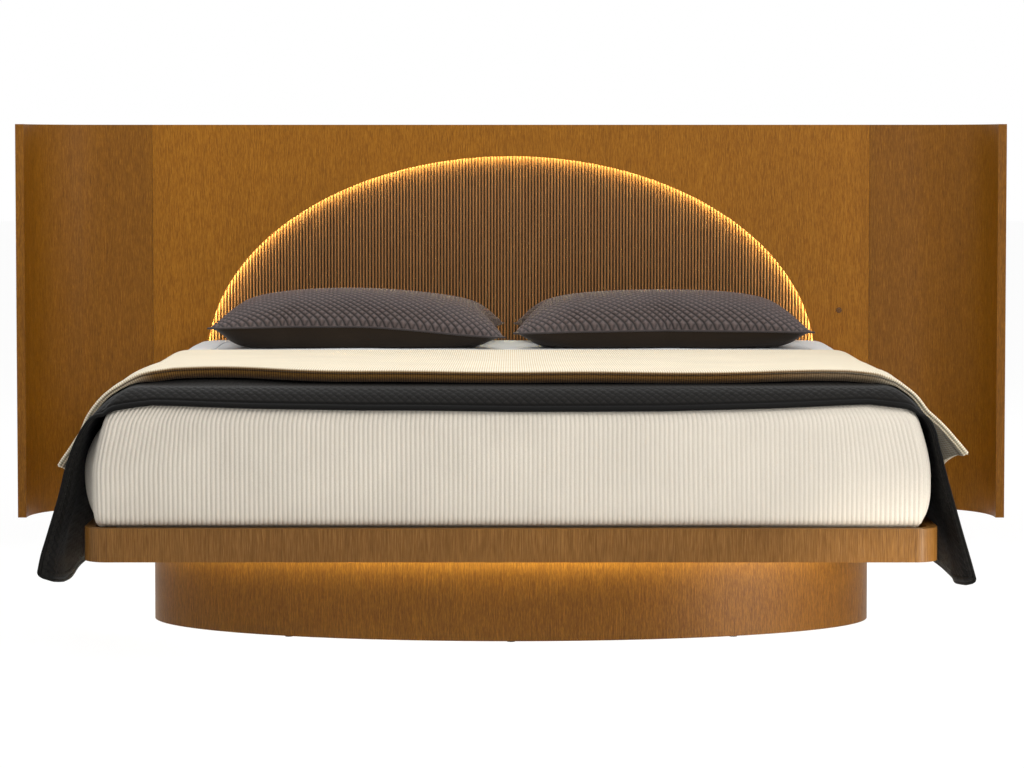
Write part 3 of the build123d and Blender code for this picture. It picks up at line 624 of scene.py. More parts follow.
studio()
lamp("key", (3.4, -4.0, 3.4), (0, -0.1, 0.5), (2.4, 2.0), 120.0, (1.0, 0.97, 0.93))
lamp("window", (-1.9, -0.1, 2.0), (-0.95, 0.6, 0.6), (0.8, 0.8), 4.5, (0.93, 0.97, 1.0))
lamp("fill", (-3.6, -4.8, 2.2), (0, 0.2, 0.5), (3.0, 2.4), 8.0)
lamp("side", (1.9, -3.7, 0.4), (0.6, -1.1, 0.22), (1.2, 0.6), 6.0, (1.0, 0.98, 0.95))
lamp("top", (-0.3, -0.6, 3.4), (0, -0.2, 0.6), (3.2, 2.0), 36.0)
lamp("low", (2.7, -3.3, 0.28), (0.84, -0.93, 0.08), 12.0, 420.0, (1.0, 0.93, 0.82))
lamp("back", (0.0, 4.5, 3.6), (0, 0.4, 0.5), (4.0, 2.0), 60.0)

bpy.context.scene.view_settings.view_transform = "Standard"


# Fitted covers: a strip round the mattress's sides and a panel on its top


def give(x, y, z):
    """How far a place on the mattress gives way sideways: its top corners at the foot are soft."""
    share = smoothstep(0.42, 0.60, z) * (1 - smoothstep(-1.0, -0.35, y))
    return np.sign(x) * 0.029 * smoothstep(0.66, 0.96, np.abs(x)) * share


def eased(points):
    """The same points, moved to where the mattress gives way."""
    points[..., 0] -= give(*np.moveaxis(points, -1, 0))
    return points


class Outline:
    """The way round the mattress from one seam to the other, past its rounded end at closed_end, as
    places a step apart: run is how far along it each is, and away its outward direction."""

    def __init__(self, half, near_y, far_y, radius, closed_end, step):
        self.sign = -1 if closed_end == "foot" else 1
        start, end = (near_y, far_y)[::self.sign]
        self.size = half, start, end, radius
        side, arc = far_y - near_y - radius, radius * math.pi / 2
        lengths = np.array([side, arc, 2 * (half - radius), arc, side])
        ends = np.concatenate([[0], np.cumsum(lengths)])
        self.run = np.linspace(0, ends[-1], int(round(ends[-1] / step)) + 1)
        self.stretch = np.clip(np.searchsorted(ends, self.run, "right") - 1, 0, 4)
        self.share = (self.run - ends[self.stretch]) / lengths[self.stretch]
        sine, cosine = np.sin(self.share * math.pi / 2), np.cos(self.share * math.pi / 2)
        self.away = np.stack([
            np.choose(self.stretch, [-1.0, -cosine, 0.0, sine, 1.0]),
            np.choose(self.stretch, [0.0, sine, 1.0, cosine, 0.0]) * self.sign,
        ], 1)

    def level(self, inset=0.0):
        """Its points when it is set in, which widens its corners by a quarter of that."""
        half, start, end, radius = self.size
        radius += 0.25 * inset
        flat, bend = half - inset - radius, end - self.sign * (inset + radius)
        side = self.share * (bend - start)
        x = np.choose(self.stretch, [-flat, -flat, flat * (2 * self.share - 1), flat, flat])
        y = np.choose(self.stretch, [start + side, bend, bend, bend, bend - side])
        return np.stack([x, y], 1) + radius * self.away


def border_profile(rows, top, edge):
    """Up the side from the rim, over the edge and in across the top: heights, insets, distances,
    and the side's height from 0 to 1."""
    hem, inward = RIM_TOP + 0.0006, 0.05
    wall, arc = top - edge - hem, edge * math.pi / 2
    q = np.linspace(0, wall + arc + inward, rows)
    t = np.clip((q - wall) / edge, 0, math.pi / 2)
    z = hem + np.minimum(q, wall) + edge * np.sin(t)
    insets = edge * (1 - np.cos(t)) + np.maximum(q - wall - arc, 0)
    return z, insets, q, np.clip((z - hem) / wall, 0, 1)


def ribs(across, pitch, depth, lean=0.0):
    """How far below their crests a cover's ribs are. They stand out more towards the left, where
    the cover is less stretched."""
    ridge = np.abs(np.cos((across + lean) / pitch * math.pi)) ** 0.75
    return (ridge - 1) * depth * (1.25 - 0.65 * smoothstep(-0.9, 0.9, across))


def fitted_cover(name, closed_end, near_y, far_y, top, half, radius, edge, thickness, rib, material,
                 seed, bulge, wrinkle, seam_height, bead):
    """A border strip, a top panel and the piped seam between them; rib is the ribs' pitch, or 0."""
    way = Outline(half, near_y, far_y, radius, closed_end, rib / 8 if rib else 0.008)
    s, away = way.run, way.away
    z, insets, q, height = border_profile(46, top, edge)
    swell = np.sin(height * math.pi) ** 0.5
    uneven = Ripples(seed, 12, 0.6, 5.0)
    wobble = uneven(s, q[:, None]) * wrinkle
    sides, to_right = np.abs(away[:, 0]), smoothstep(-1, 1, away[:, 0])
    # The hem is tucked in three times as far on the right.
    tuck = 0.012
    left = swell * 0.002 - tuck * turned_under(height, 0.30)
    right = swell * 0.004 - 3 * tuck * turned_under(height, 0.36)
    stand = left[:, None] * (1 - to_right) + right[:, None] * to_right
    stand = stand * (0.18 + 0.82 * sides)
    stand = stand - tuck * turned_under(height, 0.06)[:, None] * (1 - sides)
    stand = stand + wobble * smoothstep(0.0, 0.03, q)[:, None]
    if rib:
        lean = Ripples(seed + 1, 8, 0.4, 2.2)(s, q[:, None] * 1.6) * 0.0028
        stand = stand + ribs(s - s.mean(), rib, 0.0032, lean)
    grid = np.empty((len(q), len(s), 3))
    for row, inset in enumerate(insets):
        path = way.level(inset)
        behind = smoothstep(FRONT_Y + 0.01, FRONT_Y + SWELL_RUN, path[:, 1])
        full = stand[row] + swell[row] * bulge * behind * smoothstep(0.2, 0.9, -away[:, 0])
        grid[row, :, :2] = path + away * full[:, None]
    grid[..., 2] = z[:, None] + wobble * 0.5 * smoothstep(top - edge, top, z)[:, None]
    grid, flat = eased(grid), laid_flat(s, q[:, None])
    if closed_end == "head":
        grid, flat = grid[:, ::-1].copy(), flat[:, ::-1].copy()
    border = slab(name + "_border", grid, thickness, material, flat)

    inset, open_inset = edge + 0.046, 0.001
    x_half = half - inset
    y_low = near_y + (inset if closed_end == "foot" else open_inset)
    y_high = far_y - (inset if closed_end == "head" else open_inset)
    x = np.linspace(-x_half, x_half, int(2 * x_half / (rib / 6 if rib else 0.012)) + 1)
    y = np.linspace(y_low, y_high, int((y_high - y_low) / 0.03) + 2)[:, None]
    height = top + 0.0005 + uneven(x + 3, y) * wrinkle * 0.5
    if rib:
        height = height + ribs(x, rib, 0.0028)
    panel = eased(np.stack(np.broadcast_arrays(x, y, height), -1))
    top_panel = slab(name + "_top", panel, thickness, material, laid_flat(x, y))

    path = Outline(x_half, y_low, y_high, 0.064, closed_end, 0.012).level()
    path = eased(np.column_stack([path, np.full(len(path), seam_height)]))
    return border, top_panel, tube(name + "_seam", path, bead, material)


def bed_covers():
    border, top, seam = fitted_cover(
        "coverlet", "foot", FRONT_Y, COVER_REAR_Y, COVERLET_TOP, MATTRESS_HALF + 0.006, 0.026,
        COVER_EDGE, 0.0065, 0.011, COVERLET, 11, 0.036, 0.0018, COVERLET_TOP + 0.0005, 0.0028,
    )
    dress((border, top, seam), "mattress")
    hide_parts("coverlet")

    border, top, seam = fitted_cover(
        "sheet", "head", COVER_REAR_Y + 0.0005, BED_REAR_Y, SHEET_TOP, MATTRESS_HALF + 0.003, 0.034,
        COVER_EDGE - 0.004, 0.0022, 0.0, SHEET, 23, 0.034, 0.003, SHEET_TOP + 0.0002, 0.0013,
    )
    dress((border, top, seam), "mattress")
    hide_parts("sheet")


bed_covers()


# Mattress, under its covers


def mattress():
    """A quilted border between two piped edges, and a quilted top."""
    half, low_y, high_y = MATTRESS_HALF - 0.002, FRONT_Y + 0.010, 0.976
    low, top = 0.2705, MATTRESS_TOP - 0.002
    centre = np.array([0.0, (low_y + high_y) / 2, top])
    foot = Outline(half, low_y, centre[1], 0.040, "foot", 0.012)
    head = Outline(half, centre[1], high_y, 0.040, "head", 0.012)

    def round_both(of_foot, of_head):
        return np.concatenate([of_foot[:-1], of_head[::-1][:-1]])

    def level(inset, out, height):
        path = round_both(foot.level(inset), head.level(inset)) + away * out
        return np.column_stack([path, np.full(count, height)])

    away = round_both(foot.away, head.away)
    count = len(away)
    levels = np.linspace(0, 1, 40)
    wall, tuft_rows, tufts_round, foot_tuck = 0.72, 5, 42, 0.046
    turn = np.clip((levels - wall) / (1 - wall), 0, 1) * math.pi / 2
    z = low + (top - COVER_EDGE - low) * np.minimum(levels / wall, 1) + COVER_EDGE * np.sin(turn)
    rise = np.sin(levels * tuft_rows * math.pi) * smoothstep(0.05, 0.15, levels) * (levels < 0.7)
    tufts = np.sin(np.arange(count) / count * tufts_round * 2 * math.pi) * rise[:, None]
    stand = 0.0012 * tufts - foot_tuck * (1 - smoothstep(0.0, 0.50, levels))[:, None]
    grid = [
        level(inset, out[:, None], height)
        for inset, out, height in zip(COVER_EDGE * (1 - np.cos(turn)), stand, z)
    ]
    last = grid[-1]
    for share in (0.985, 0.96, 0.9, 0.8, 0.6, 0.35, 0.1):
        hoop = centre + (last - centre) * share
        dip = (np.sin(hoop[:, 0] * 40) * np.sin(hoop[:, 1] * 40)) ** 2
        hoop[:, 2] = top - 0.0006 - 0.0015 * dip
        grid.append(hoop)
    grid = eased(np.array(grid))
    points = np.concatenate([grid.reshape(-1, 3), [centre, [0.0, centre[1], low]]])
    k = np.arange(count)
    m = np.roll(k, -1)
    start = np.arange(len(grid) - 1)[:, None] * count
    faces = np.stack([start + k, start + m, start + count + m, start + count + k], -1)
    faces = faces.reshape(-1, 4).tolist()
    rim, crown, base = count * (len(grid) - 1), len(points) - 2, len(points) - 1
    for here, after in zip(k.tolist(), m.tolist()):
        faces += [[rim + here, rim + after, crown], [after, here, base]]
    flat = points.copy()
    flat[:, 1] += points[:, 2]
    made = mesh("mattress_body", points, faces, TICKING, flat)
    dress([made], "mattress")
    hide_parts("mattress")
    for label, height, inset in (("low", low + 0.018, 0.0415), ("high", top - 0.014, 0.0325)):
        line = eased(level(inset, 0.0, height))
        bead = tube(f"mattress_piping_{label}", line, 0.003, TICKING, True)
        dress([bead], "mattress")


mattress()


# Throw and blanket


def bed_form(points):
    """How far points lie outside the made-up mattress, and the way out of it."""
    x, y, z = np.moveaxis(points, -1, 0)
    x = x + give(x + give(x, y, z), y, z)
    height = np.clip((z - RIM_TOP) / (COVERLET_TOP - COVER_EDGE - RIM_TOP), 0, 1)
    left = 0.002 + 0.036 * smoothstep(FRONT_Y + 0.01, FRONT_Y + SWELL_RUN, y)
    half = MATTRESS_HALF + 0.006 + np.where(x < 0, left, 0.005) * np.sin(height * math.pi) ** 0.5
    core, power = 0.12, 8
    a = np.maximum(np.abs(x) - half + core, 1e-6)
    b = np.maximum(COVERED_FRONT + core - y, 1e-6)
    reach = (a ** power + b ** power) ** (1 / power)
    plan = np.maximum(reach - core + COVER_EDGE, 0)
    over = np.maximum(z - (COVERLET_TOP + 0.0005 - COVER_EDGE), 0)
    length = np.maximum(np.hypot(plan, over), 1e-9)
    away = np.stack([
        np.sign(x) * (a / reach) ** (power - 1) * plan / length,
        -(b / reach) ** (power - 1) * plan / length, over / length,
    ], -1)
    return length - COVER_EDGE, unit(away)


def clear_of_bed(grid, gap):
    for _ in range(3):
        distance, away = bed_form(grid)
        grid = grid + away * np.maximum(gap - distance, 0)[..., None]
    return grid


def clear_of_cloth(grid, tree, gap, rear):
    """Moves the points in front of rear out of the cloth in tree, to stand gap off it."""
    farthest = 0.02
    for turn in range(3):
        spread = np.zeros(grid.shape)
        for r, c in zip(*np.nonzero(grid[..., 1] < rear)):
            near, away, _, _ = tree.find_nearest(grid[r, c])
            step = gap[r, c] - float(np.dot(grid[r, c] - np.array(near), away))
            if step > 0:
                spread[r, c] = np.array(away) * min(step, farthest)
        for _ in range(6 - 2 * turn):
            wide = np.pad(spread, ((1, 1), (1, 1), (0, 0)), "edge")
            beside = wide[:-2, 1:-1] + wide[2:, 1:-1] + wide[1:-1, :-2] + wide[1:-1, 2:]
            spread = (beside + 2 * spread) / 6
        grid = grid + spread
    return grid


def fine_ends(total, step, fine, zone):
    """Places from 0 to 1, step apart, and only fine apart in a zone at both ends."""
    ends = np.arange(0, zone, fine)
    middle = np.linspace(zone, total - zone, int((total - 2 * zone) / step) + 1)
    return np.concatenate([ends, middle, total - ends[::-1]]) / total


def side_line(xs, zs, shares):
    """A smooth fall through given (x, z) points in millimetres, at shares of its length, and
    that length in metres."""
    line = cubic(np.stack([xs, zs], 1) / 1000, np.linspace(0, len(xs) - 1, 400))
    run = np.concatenate([[0], np.cumsum(np.linalg.norm(np.diff(line, axis=0), axis=1))])
    return np.stack([np.interp(shares * run[-1], run, one) for one in line.T], 1), run[-1]


def drape(stations, lines, shares):
    """One side of a hanging cloth as a grid: a row for each place in lines, blended from stations
    of (place, xs, zs); and the rows' lengths."""
    falls, lengths = zip(*(side_line(xs, zs, shares) for _, xs, zs in stations))
    at = np.interp(lines, [place for place, _, _ in stations], np.arange(len(stations)))
    return cubic(falls, at), cubic(lengths, at)


# Each side's fall, foot to head: place, how far out its points are, and the hem's height, in mm
THROW_LEFT_Z = [619.5, 611, 589, 547.6, 503.7, 439.1, 363, 280, 224.6, 176]
THROW_LEFT = [
    (0.00, [850, 900, 942, 980, 1007, 1031, 1050, 1075, 1092.5, 1103], 187),
    (0.07, [850, 900, 942, 980, 1000, 1020, 1036, 1057, 1068, 1070], 170),
    (0.20, [850, 900, 944, 981, 999, 1014, 1028, 1050, 1060, 1056], 160),
    (0.45, [850, 902, 946, 982, 1001, 1020, 1039, 1058, 1064, 1052], 153),
    (0.78, [850, 906, 950, 985, 1004, 1018, 1031, 1046, 1055, 1055], 160),
    (1.00, [850, 910, 953, 988, 1004, 1012, 1018, 1030, 1038, 1040], 170),
]
THROW_RIGHT_Z = [619.5, 611, 589, 543, 487.6, 427.6, 353.8, 291.5, 233.8, 182]
THROW_RIGHT = [
    (0.00, [850, 898, 938, 976, 994, 1012, 1034, 1051, 1067, 1081], 172),
    (0.07, [850, 898, 938, 974, 990, 1004, 1022, 1038, 1053, 1064], 163),
    (0.20, [850, 898, 940, 974, 988, 1001, 1016, 1029, 1042, 1052], 158),
    (0.45, [850, 900, 943, 976, 990, 1004, 1022, 1038, 1053, 1062], 155),
    (0.78, [850, 905, 948, 980, 993, 1005, 1020, 1036, 1051, 1060], 154),
    (1.00, [850, 908, 951, 982, 993, 998, 1005, 1016, 1029, 1040], 164),
]


def with_hem(stations, heights):
    """Stations whose lowest height is their own hem's."""
    share = (np.array(heights) - heights[-1]) / (heights[0] - heights[-1])
    return [(place, xs, hem + (heights[0] - hem) * share) for place, xs, hem in stations]


def quilt(u, v, pitch, depth, sharp=0.5):
    """Diamond channels: 0 at the stitch lines, up to depth between them."""
    a = np.abs(np.sin((u + v) / pitch * math.pi))
    b = np.abs(np.sin((u - v) / pitch * math.pi))
    return depth * (np.minimum(a, 1 - SECOND_LINES * (1 - b)) ** sharp)


def bunched(x):
    """How much higher the layers lie where the bed is fuller, towards either side."""
    return 0.010 * np.exp(-(((x + 0.70) / 0.20) ** 2)) + 0.004 * np.exp(-(((x - 0.74) / 0.16) ** 2))


def over_bed(near_y, length, left, right, top_step, side_step, v, corners=()):
    """The whole cloth as one grid, left hem to right hem, foot to head, with its place on the flat.
    corners are the roundings of the hanging sides' corners, at the foot and at the head."""
    side = np.concatenate([np.arange(0, 0.478, side_step), np.linspace(0.48, 0.5, 13)]) / 0.5
    short = np.zeros(len(v))
    for end, corner in zip((v * length, (1 - v) * length), corners):
        short += corner * turned_under(end, corner)
    sides = []
    for stations in (left, right):
        fall, lengths = drape(stations, v, side)
        for row, keep in zip(fall, 1 - short / lengths):
            row[:] = np.stack([np.interp(side * keep, side, one) for one in row.T], 1)
        sides += [fall[..., 0], fall[..., 1], (lengths - short)[:, None] * side]
    x_left, z_left, run_left, x_right, z_right, run_right = sides
    xl, zl, xr, zr = x_left[:, :1], z_left[:, :1], x_right[:, :1], z_right[:, :1]
    share = np.linspace(0, 1, int((xl[0, 0] + xr[0, 0]) / top_step))[1:-1]
    top_x = -xl + (xl + xr) * share
    x = np.concatenate([-x_left[:, ::-1], top_x, x_right], axis=1)
    y = near_y + length * v[:, None] + np.zeros(x.shape)
    z = np.concatenate([z_left[:, ::-1], zl + (zr - zl) * share, z_right], axis=1)
    u = np.concatenate([-xl - run_left[:, ::-1], top_x, xr + run_right], axis=1)
    return np.stack([x, y, z], axis=2), u


# The height of the throw's hem on the mattress's front, by how far out it is, in mm
HEM_X = [0, 350, 600, 780, 830, 861, 893, 917, 940, 960, 980, 1000]
HEM_Z = [571, 573, 580, 587, 588, 584, 578, 572, 563, 551, 538, 515]


def throw():
    """The quilted throw. It gives back its surface, for the blanket to lie on."""
    length, near, depth = 0.480, FRONT_Y - 0.0005, 0.56
    v = fine_ends(depth, 0.0034, 0.0016, 0.022)
    grid, u = over_bed(
        near, length, with_hem(THROW_LEFT, THROW_LEFT_Z), with_hem(THROW_RIGHT, THROW_RIGHT_Z),
        0.0034, 0.0036, v, (0.014, 0.012),
    )
    grid[..., 2] += bunched(grid[..., 0]) * smoothstep(0.10, 0.50, v)[:, None]
    # The front of the cloth turns down over the mattress's rounded edge, less and less at the
    # corners.
    gap, quilting = 0.0105, 0.0034
    roll = COVER_EDGE + gap
    start = COVERED_FRONT + COVER_EDGE
    x = np.abs(grid[0, :, 0])
    side = smoothstep(0.90, 0.985, x)
    uneven = Ripples(29, 7, 0.7, 2.4)(grid[0, :, 0], 0.0) * 0.003
    front_hem = np.interp(x * 1000, HEM_X, HEM_Z) / 1000
    drop = np.maximum(grid[0, :, 2] - front_hem + uneven, 0)
    reach = roll * np.arccos(np.clip(1 - drop * (1 - smoothstep(0.935, 0.985, x)) / roll, -1, 1))
    w = v[:, None] * (reach + near + length - start)
    angle = np.clip((reach - w) / roll, 0, None)
    front_y = start - roll * np.sin(angle) + np.maximum(w - reach, 0)
    grid[..., 1] = front_y * (1 - side) + grid[..., 1] * side
    grid[..., 2] -= roll * (1 - np.cos(angle))
    wave = Ripples(31, 10, 0.8, 3.5)(u, v[:, None] * 0.5)
    fall = smoothstep(0.60, 0.40, grid[..., 2])
    grid = clear_of_bed(raised(grid, wave * (0.0008 + 0.0035 * fall)), gap)
    coarse = raised(grid, 0.0022)[::3, ::3]
    tree = BVHTree.FromPolygons(coarse.reshape(-1, 3).tolist(), quads(*coarse.shape[:2]))
    w = w * (1 - side) + v[:, None] * depth * side
    edge = from_edge(u, w)
    plain_hem = 1 - smoothstep(0.014, 0.019, edge)
    rise = quilt(u, w, THROW_PITCH, quilting) * (1 - plain_hem)
    hem = 0.0036 * np.sqrt(np.clip(1 - ((edge - 0.006) / 0.0065) ** 2, 0, 1))
    grid = raised(grid, rise + hem - 0.001)
    # The plain hem and the edge take the hem's painted shade in place of the quilting lines'.
    made = slab("foot_throw_cloth", grid, 0.0075, THROW, laid_flat(u, w), shade_share=(plain_hem, 1, 0))
    dress([made], "mattress")
    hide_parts("foot_throw")
    return tree


throw_tree = throw()

# Each side's fall, foot to head: place, how far out its points are, and how high, in mm
BLANKET_LEFT = [
    (0.00, [800, 871, 912, 944, 972, 998.8, 1021.2, 1045.4, 1060, 1071.7],
     [654, 645.6, 628, 602, 575, 545.2, 508.7, 472.3, 452, 434]),
    (0.05, [800, 871, 914, 947, 974, 997.5, 1018, 1036, 1050, 1060],
     [654, 645.4, 628, 602, 573, 540, 500, 462, 434, 414]),
    (0.12, [800, 871, 915, 950, 977, 999, 1016, 1034, 1047, 1054],
     [650, 644, 628, 605, 576, 539, 491, 437, 386, 352]),
    (0.21, [800, 871, 918, 954, 983, 1004, 1024, 1048, 1073, 1084],
     [646, 641, 628, 607, 578, 540, 483, 407, 322, 268]),
    (0.31, [800, 871, 920, 957, 987, 1009, 1031, 1058, 1084, 1096],
     [643, 638, 627, 608, 580, 541, 481, 399, 308, 248]),
    (0.42, [800, 871, 920, 958, 988, 1010, 1031, 1057, 1080, 1092],
     [639, 635, 625, 608, 581, 541, 480, 396, 303, 242]),
    (0.55, [800, 871, 920, 957, 985, 1003, 1018, 1034, 1048, 1055],
     [635, 631, 622, 606, 580, 541, 480, 396, 305, 247]),
    (0.69, [800, 871, 918, 956, 985, 1007, 1027, 1051, 1072, 1083],
     [630, 627, 618, 603, 578, 539, 479, 395, 304, 246]),
    (0.84, [800, 871, 917, 954, 982, 1001, 1016, 1033, 1049, 1058],
     [625, 622, 614, 600, 576, 537, 478, 396, 307, 252]),
    (1.00, [800, 871, 916, 953, 982, 1003, 1022, 1044, 1064, 1074],
     [620.5, 618, 611, 598, 575, 536, 477, 398, 312, 258]),
]
BLANKET_RIGHT = [
    (0.00, [800, 872, 914, 940, 971, 998, 1024, 1050, 1065, 1078.5],
     [652, 644.4, 622.1, 595.6, 572.4, 549.3, 524.7, 495.5, 478, 461]),
    (0.05, [800, 872, 914, 942, 970, 994, 1016, 1036, 1048, 1057],
     [652, 644.4, 623.1, 597.6, 572, 545, 516, 484, 466, 451]),
    (0.115, [800, 873, 917, 948, 974, 994, 1010, 1024, 1034, 1041],
     [649, 642, 625, 602, 572, 541, 507, 466, 434, 413]),
    (0.20, [800, 872, 918, 953, 980, 1001, 1018, 1037, 1053, 1062],
     [646, 640, 627, 606, 577, 541, 496, 436, 371, 330]),
    (0.31, [800, 871, 920, 957, 986, 1007, 1025, 1047, 1067, 1078],
     [643, 638, 627, 608, 580, 541, 483, 405, 317, 261]),
    (0.42, [800, 871, 920, 958, 987, 1007, 1025, 1046, 1066, 1077],
     [639, 635, 625, 608, 581, 541, 482, 402, 313, 257]),
    (0.55, [800, 871, 920, 957, 984, 1002, 1016, 1031, 1044, 1051],
     [635, 631, 622, 606, 580, 541, 480, 398, 307, 250]),
    (0.69, [800, 871, 918, 956, 984, 1006, 1026, 1049, 1070, 1081],
     [630, 627, 618, 603, 578, 539, 479, 396, 305, 247]),
    (0.84, [800, 871, 917, 954, 981, 1000, 1015, 1032, 1048, 1057],
     [625, 622, 614, 600, 576, 537, 478, 396, 307, 252]),
    (1.00, [800, 871, 916, 953, 981, 1002, 1020, 1041, 1060, 1070],
     [620.5, 618, 611, 598, 575, 536, 477, 398, 312, 258]),
]


def blanket():
    """The wool blanket, and the thick fold that its front edge makes over the throw."""
    near, length = -0.932, 1.210
    v = fine_ends(length, 0.0068, 0.0022, 0.020)
    run = v[:, None] * length
    grid, u = over_bed(near, length, BLANKET_LEFT, BLANKET_RIGHT, 0.0068, 0.0062, v)
    x = np.abs(grid[..., 0])
    crown = np.clip(1 - (grid[..., 0] / 0.80) ** 2, 0, 1)
    near_front = (1 - smoothstep(0.05, 0.50, v))[:, None]
    grid[..., 2] += (0.003 * crown + bunched(grid[..., 0])) * near_front
    grid[..., 1] += (4.5 * bunched(grid[..., 0]) - 0.012 * crown) * near_front
    wave = Ripples(47, 14, 0.5, 3.2)(u, v[:, None] * 1.2)
    fall = smoothstep(0.62, 0.42, grid[..., 2])
    grid = raised(grid, wave * (0.0018 + 0.003 * fall))
    grid[..., 1] += Ripples(53, 9, 1.0, 5.0)(u, 0.0) * 0.0035 * np.exp(-run / 0.10)
    # Two layers of wool, and more of them in the fold at the front; they thin out down the sides.
    side = smoothstep(0.84, 0.93, x)
    thick = 0.0090 - 0.0010 * side
    under = 0.0200 * (1 - side) + 0.0050 * side
    zone = 1 - smoothstep(0.10, 0.25, run)
    grid = clear_of_bed(grid, thick + 0.002)
    grid = clear_of_cloth(grid, throw_tree, thick + (under * side + 0.001) * zone + 0.0035, -0.56)
    flat = laid_flat(u, run)
    # Painted shade: dark brown on the underside, lighter down the hanging sides and none on the
    # right flap at the front, where the light reaches; and on the edge along the front.
    right = smoothstep(0.5, 0.9, grid[..., 0]) * smoothstep(-0.62, -0.80, grid[..., 1])
    underside_shade = (0.92 - 0.77 * smoothstep(0.93, 0.99, x)) * (1 - right)
    fold_front_shade = np.exp(-((run / 0.03) ** 2)) * (1 - side)
    made = slab("blanket_cloth", grid, thick, WOOL, flat, shade_share=(0, fold_front_shade, underside_shade))
    dress([made], "mattress")
    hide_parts("blanket")

    fold = 0.27
    rows = int(np.searchsorted(run[:, 0], fold))
    columns = (u[0] > -1.21) & (u[0] < 1.19)
    out = normals(grid)

    def folded(*grids):
        return [one[:rows, columns] for one in grids]

    grid, out, x, side, right, thick, under, flat = folded(
        grid, out, x, side, right, thick, under, flat
    )
    upper = grid - out * (thick + 0.0008)[..., None]
    upper[..., 1] += 0.003
    lower = upper - out * under[..., None]
    lower[..., 1] += 0.017 * np.exp(-run[:rows] / 0.03) * (1 - side)
    on_throw = np.maximum(lower[..., 2], THROW_TOP + 0.0022)
    lower[..., 2] = np.where(x < 0.86, on_throw, lower[..., 2])
    # Painted shade over the fold at the front, less down the sides and on the right.
    tone = 1 - 0.6 * side - 0.25 * right
    layer = slab("blanket_fold", upper, 0.0, WOOL, flat, 0.12, lower, (tone, tone, tone))
    dress([layer], "mattress")


blanket()


# Pillows

INFLATION = {
    "quality": 6, "mass": 0.25, "air_damping": 3, "tension_stiffness": 18,
    "compression_stiffness": 18, "shear_stiffness": 6, "bending_stiffness": 0.25,
    "tension_damping": 12, "compression_damping": 12, "shear_damping": 12,
    "use_pressure": True, "uniform_pressure_force": 4.5,
}


def simulate(made, frames):
    """Blows the closed cover up with Cloth pressure and gives back its points."""
    scene = bpy.context.scene
    modifier = made.modifiers.new("Cloth", "CLOTH")
    for key, value in INFLATION.items():
        setattr(modifier.settings, key, value)
    modifier.settings.effector_weights.gravity = 0
    modifier.collision_settings.use_collision = False
    modifier.point_cache.frame_start, modifier.point_cache.frame_end = 1, frames
    for number in range(1, frames + 1):
        scene.frame_set(number)
    evaluated = made.evaluated_get(bpy.context.evaluated_depsgraph_get())
    result = evaluated.to_mesh()
    points = np.empty(len(result.vertices) * 3)
    result.vertices.foreach_get("co", points)
    evaluated.to_mesh_clear()
    made.modifiers.remove(modifier)
    scene.frame_set(1)
    return points.reshape(-1, 3)


def sewn(top, low):
    """Two grids sewn together at their edge: points, the faces of each, and the numbers of their
    points as grids."""
    rows, columns = top.shape[:2]
    index = np.arange(rows * columns).reshape(rows, columns)
    under = index.copy()
    inside = under[1:-1, 1:-1]
    inside[:] = rows * columns + np.arange(inside.size).reshape(inside.shape)
    points = np.concatenate([top.reshape(-1, 3), low[1:-1, 1:-1].reshape(-1, 3)])
    corners = under[1:, :-1], under[1:, 1:], under[:-1, 1:], under[:-1, :-1]
    lower = np.stack(corners, -1).reshape(-1, 4).tolist()
    return points, quads(rows, columns), lower, index, under


def cut_panels(nx, ny, width, depth, thin):
    """Top and bottom grids of an unfilled pillow, slightly apart in the middle."""
    u = np.linspace(-1, 1, nx)[None, :] * np.ones((ny, 1))
    v = np.linspace(-1, 1, ny)[:, None] * np.ones((1, nx))
    bow = 0.012
    x = u * width / 2 * (1 - bow * (1 - v ** 2) * np.abs(u) ** 3)
    y = v * depth / 2 * (1 - 2 * bow * (1 - u ** 2) * np.abs(v) ** 3)
    puff = thin * ((1 - u ** 8) * (1 - v ** 4)) ** 0.5
    return np.stack([x, y, puff], 2), np.stack([x, y, -puff], 2)


def finer(grid, times):
    """The grid with more rows and columns, on a smooth surface through its points."""
    for _ in range(2):
        places = np.linspace(0, len(grid) - 1, (len(grid) - 1) * times + 1)
        grid = cubic(grid, places).transpose(1, 0, 2)
    return grid


def settled(grid, turns):
    """Evens out the creases of a simulated panel, and its edge along itself."""
    for _ in range(turns):
        grid[1:-1, 1:-1] = (grid[:-2, 1:-1] + grid[2:, 1:-1] + grid[1:-1, :-2] + grid[1:-1, 2:]) / 4
        for line in (grid[0], grid[-1], grid[:, 0], grid[:, -1]):
            line[1:-1] = (line[:-2] + 2 * line[1:-1] + line[2:]) / 4
    return grid


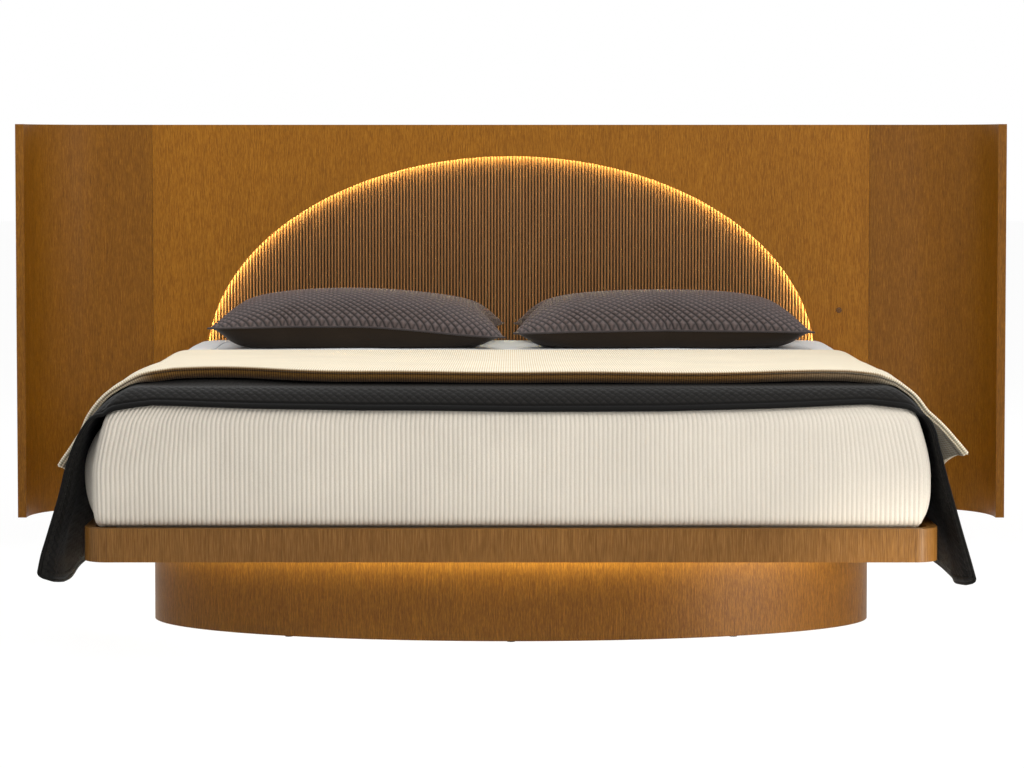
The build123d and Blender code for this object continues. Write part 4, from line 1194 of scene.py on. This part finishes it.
def pillow(name, centre_x, width, seed, seam, crown_top, droop, outer, inner, turn):
    """A quilted upper side and a plain under side, sewn together with piping. outer and inner give
    the fall of its two ends, the inner one towards the middle of the bed; droop lowers the seam
    there."""
    depth = 0.480
    nx, ny = 87, 49
    cut_width, cut_depth = 0.93, 0.555
    to_middle = 1 if centre_x < 0 else -1
    points, *faces, index, under = sewn(*cut_panels(nx, ny, cut_width, cut_depth, 0.03))
    points[:, 2] += Ripples(seed, 10, 1.0, 5.0)(points[:, 0], points[:, 1]) * 0.002
    raw = mesh(name + "_raw", points, faces[0] + faces[1], PILLOW_TOP)
    points = simulate(raw, 34)
    bpy.data.objects.remove(raw)
    top, low = settled(points[index], 16), settled(points[under], 16)
    both = np.concatenate([top.reshape(-1, 3), low.reshape(-1, 3)])
    middle, size = (both.max(0) + both.min(0)) / 2, np.ptp(both, axis=0)
    seam_height = np.median(top[0, 8:-8, 2])
    up, down = crown_top - seam, seam - PILLOW_FLOOR
    crown = np.quantile(top[..., 2], 0.995) - seam_height
    floor = seam_height - np.quantile(low[..., 2], 0.02)

    u, v = np.linspace(-1, 1, nx)[None, :], np.linspace(-1, 1, ny)[:, None]
    ends = [(1 - np.abs(u) ** power) ** fall for power, fall in (outer, inner)]
    plump = np.where(u * to_middle > 0, ends[1], ends[0]) * (1 - np.abs(v) ** 2.4) ** 0.6
    sunk = ((1 - np.abs(u) ** 5) * (1 - np.abs(v) ** 3)) ** 0.8

    def fitted(grid, form, height, scale):
        """The simulated panel at its real size, and mostly in the form and height that it has."""
        out = (grid - middle) * [width / size[0], depth / size[1], 1]
        out[..., 2] = 0.74 * form * height + 0.26 * (grid[..., 2] - seam_height) * scale
        return out

    top = finer(fitted(top, plump, up, up / crown), 4)
    low = finer(fitted(low, sunk, -down * 1.45, down * 1.45 / floor), 4)
    # It lies flat where it rests on the bed.
    soft = 0.008
    gap = low[..., 2] + down - soft
    low[..., 2] = np.where(gap < 0, soft * np.exp(np.clip(gap / soft, -30, 0)) - down, low[..., 2])
    along = np.linspace(0, 1, top.shape[0])[:, None] * cut_depth
    across = np.linspace(0, 1, top.shape[1])[None, :] * cut_width
    border = from_edge(across, along)
    quilting = 0.0074
    rise = quilt(across, along, PILLOW_PITCH, quilting, 0.6) - quilting / 2
    top = raised(top, rise * smoothstep(0.0, 0.012, border))
    crease = Ripples(seed + 5, 14, 3.0, 11.0)(across, along * 1.5)
    low = raised(low, -crease * 0.0012 * smoothstep(0.0, 0.03, border))

    cosine, sine = math.cos(math.radians(turn)), math.sin(math.radians(turn))
    spin = np.array([[cosine, -sine, 0], [sine, cosine, 0], [0, 0, 1]])

    def placed(grid):
        share = np.clip((grid[..., 2] + down) / down, 0, 1)
        end = smoothstep(-0.1, 1.0, grid[..., 0] / (width / 2) * to_middle)
        grid[..., 2] += droop * end * share * (0.75 - grid[..., 1] / depth / 2)
        return grid @ spin.T + [centre_x, PILLOW_Y, seam]

    top, low = placed(top), placed(low)
    flat = laid_flat(across, along)
    flats = sewn(flat, flat)[0]
    points, upper, lower, _, _ = sewn(top, low)
    made = mesh(name + "_cover", points, upper + lower, PILLOW_TOP, flats, extra=(PILLOW_UNDER,))
    which = np.repeat(np.array([0, 1], np.int32), [len(upper), len(lower)])
    made.data.polygons.foreach_set("material_index", which)
    loop = np.concatenate([top[0, :-1], top[:-1, -1], top[-1, :0:-1], top[:0:-1, 0]])[::2]
    bead = tube(name + "_piping", loop, 0.0026, PILLOW_TOP, True)
    dress((made, bead), name)
    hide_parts(name)


pillow("pillow_left", -0.4400, 0.846, 61, 0.670, 0.7705, -0.026, (3.0, 0.65), (4.4, 0.48), 0.0)
pillow("pillow_right", 0.4336, 0.852, 71, 0.6585, 0.7655, -0.003, (3.8, 0.80), (3.6, 0.55), -0.2)
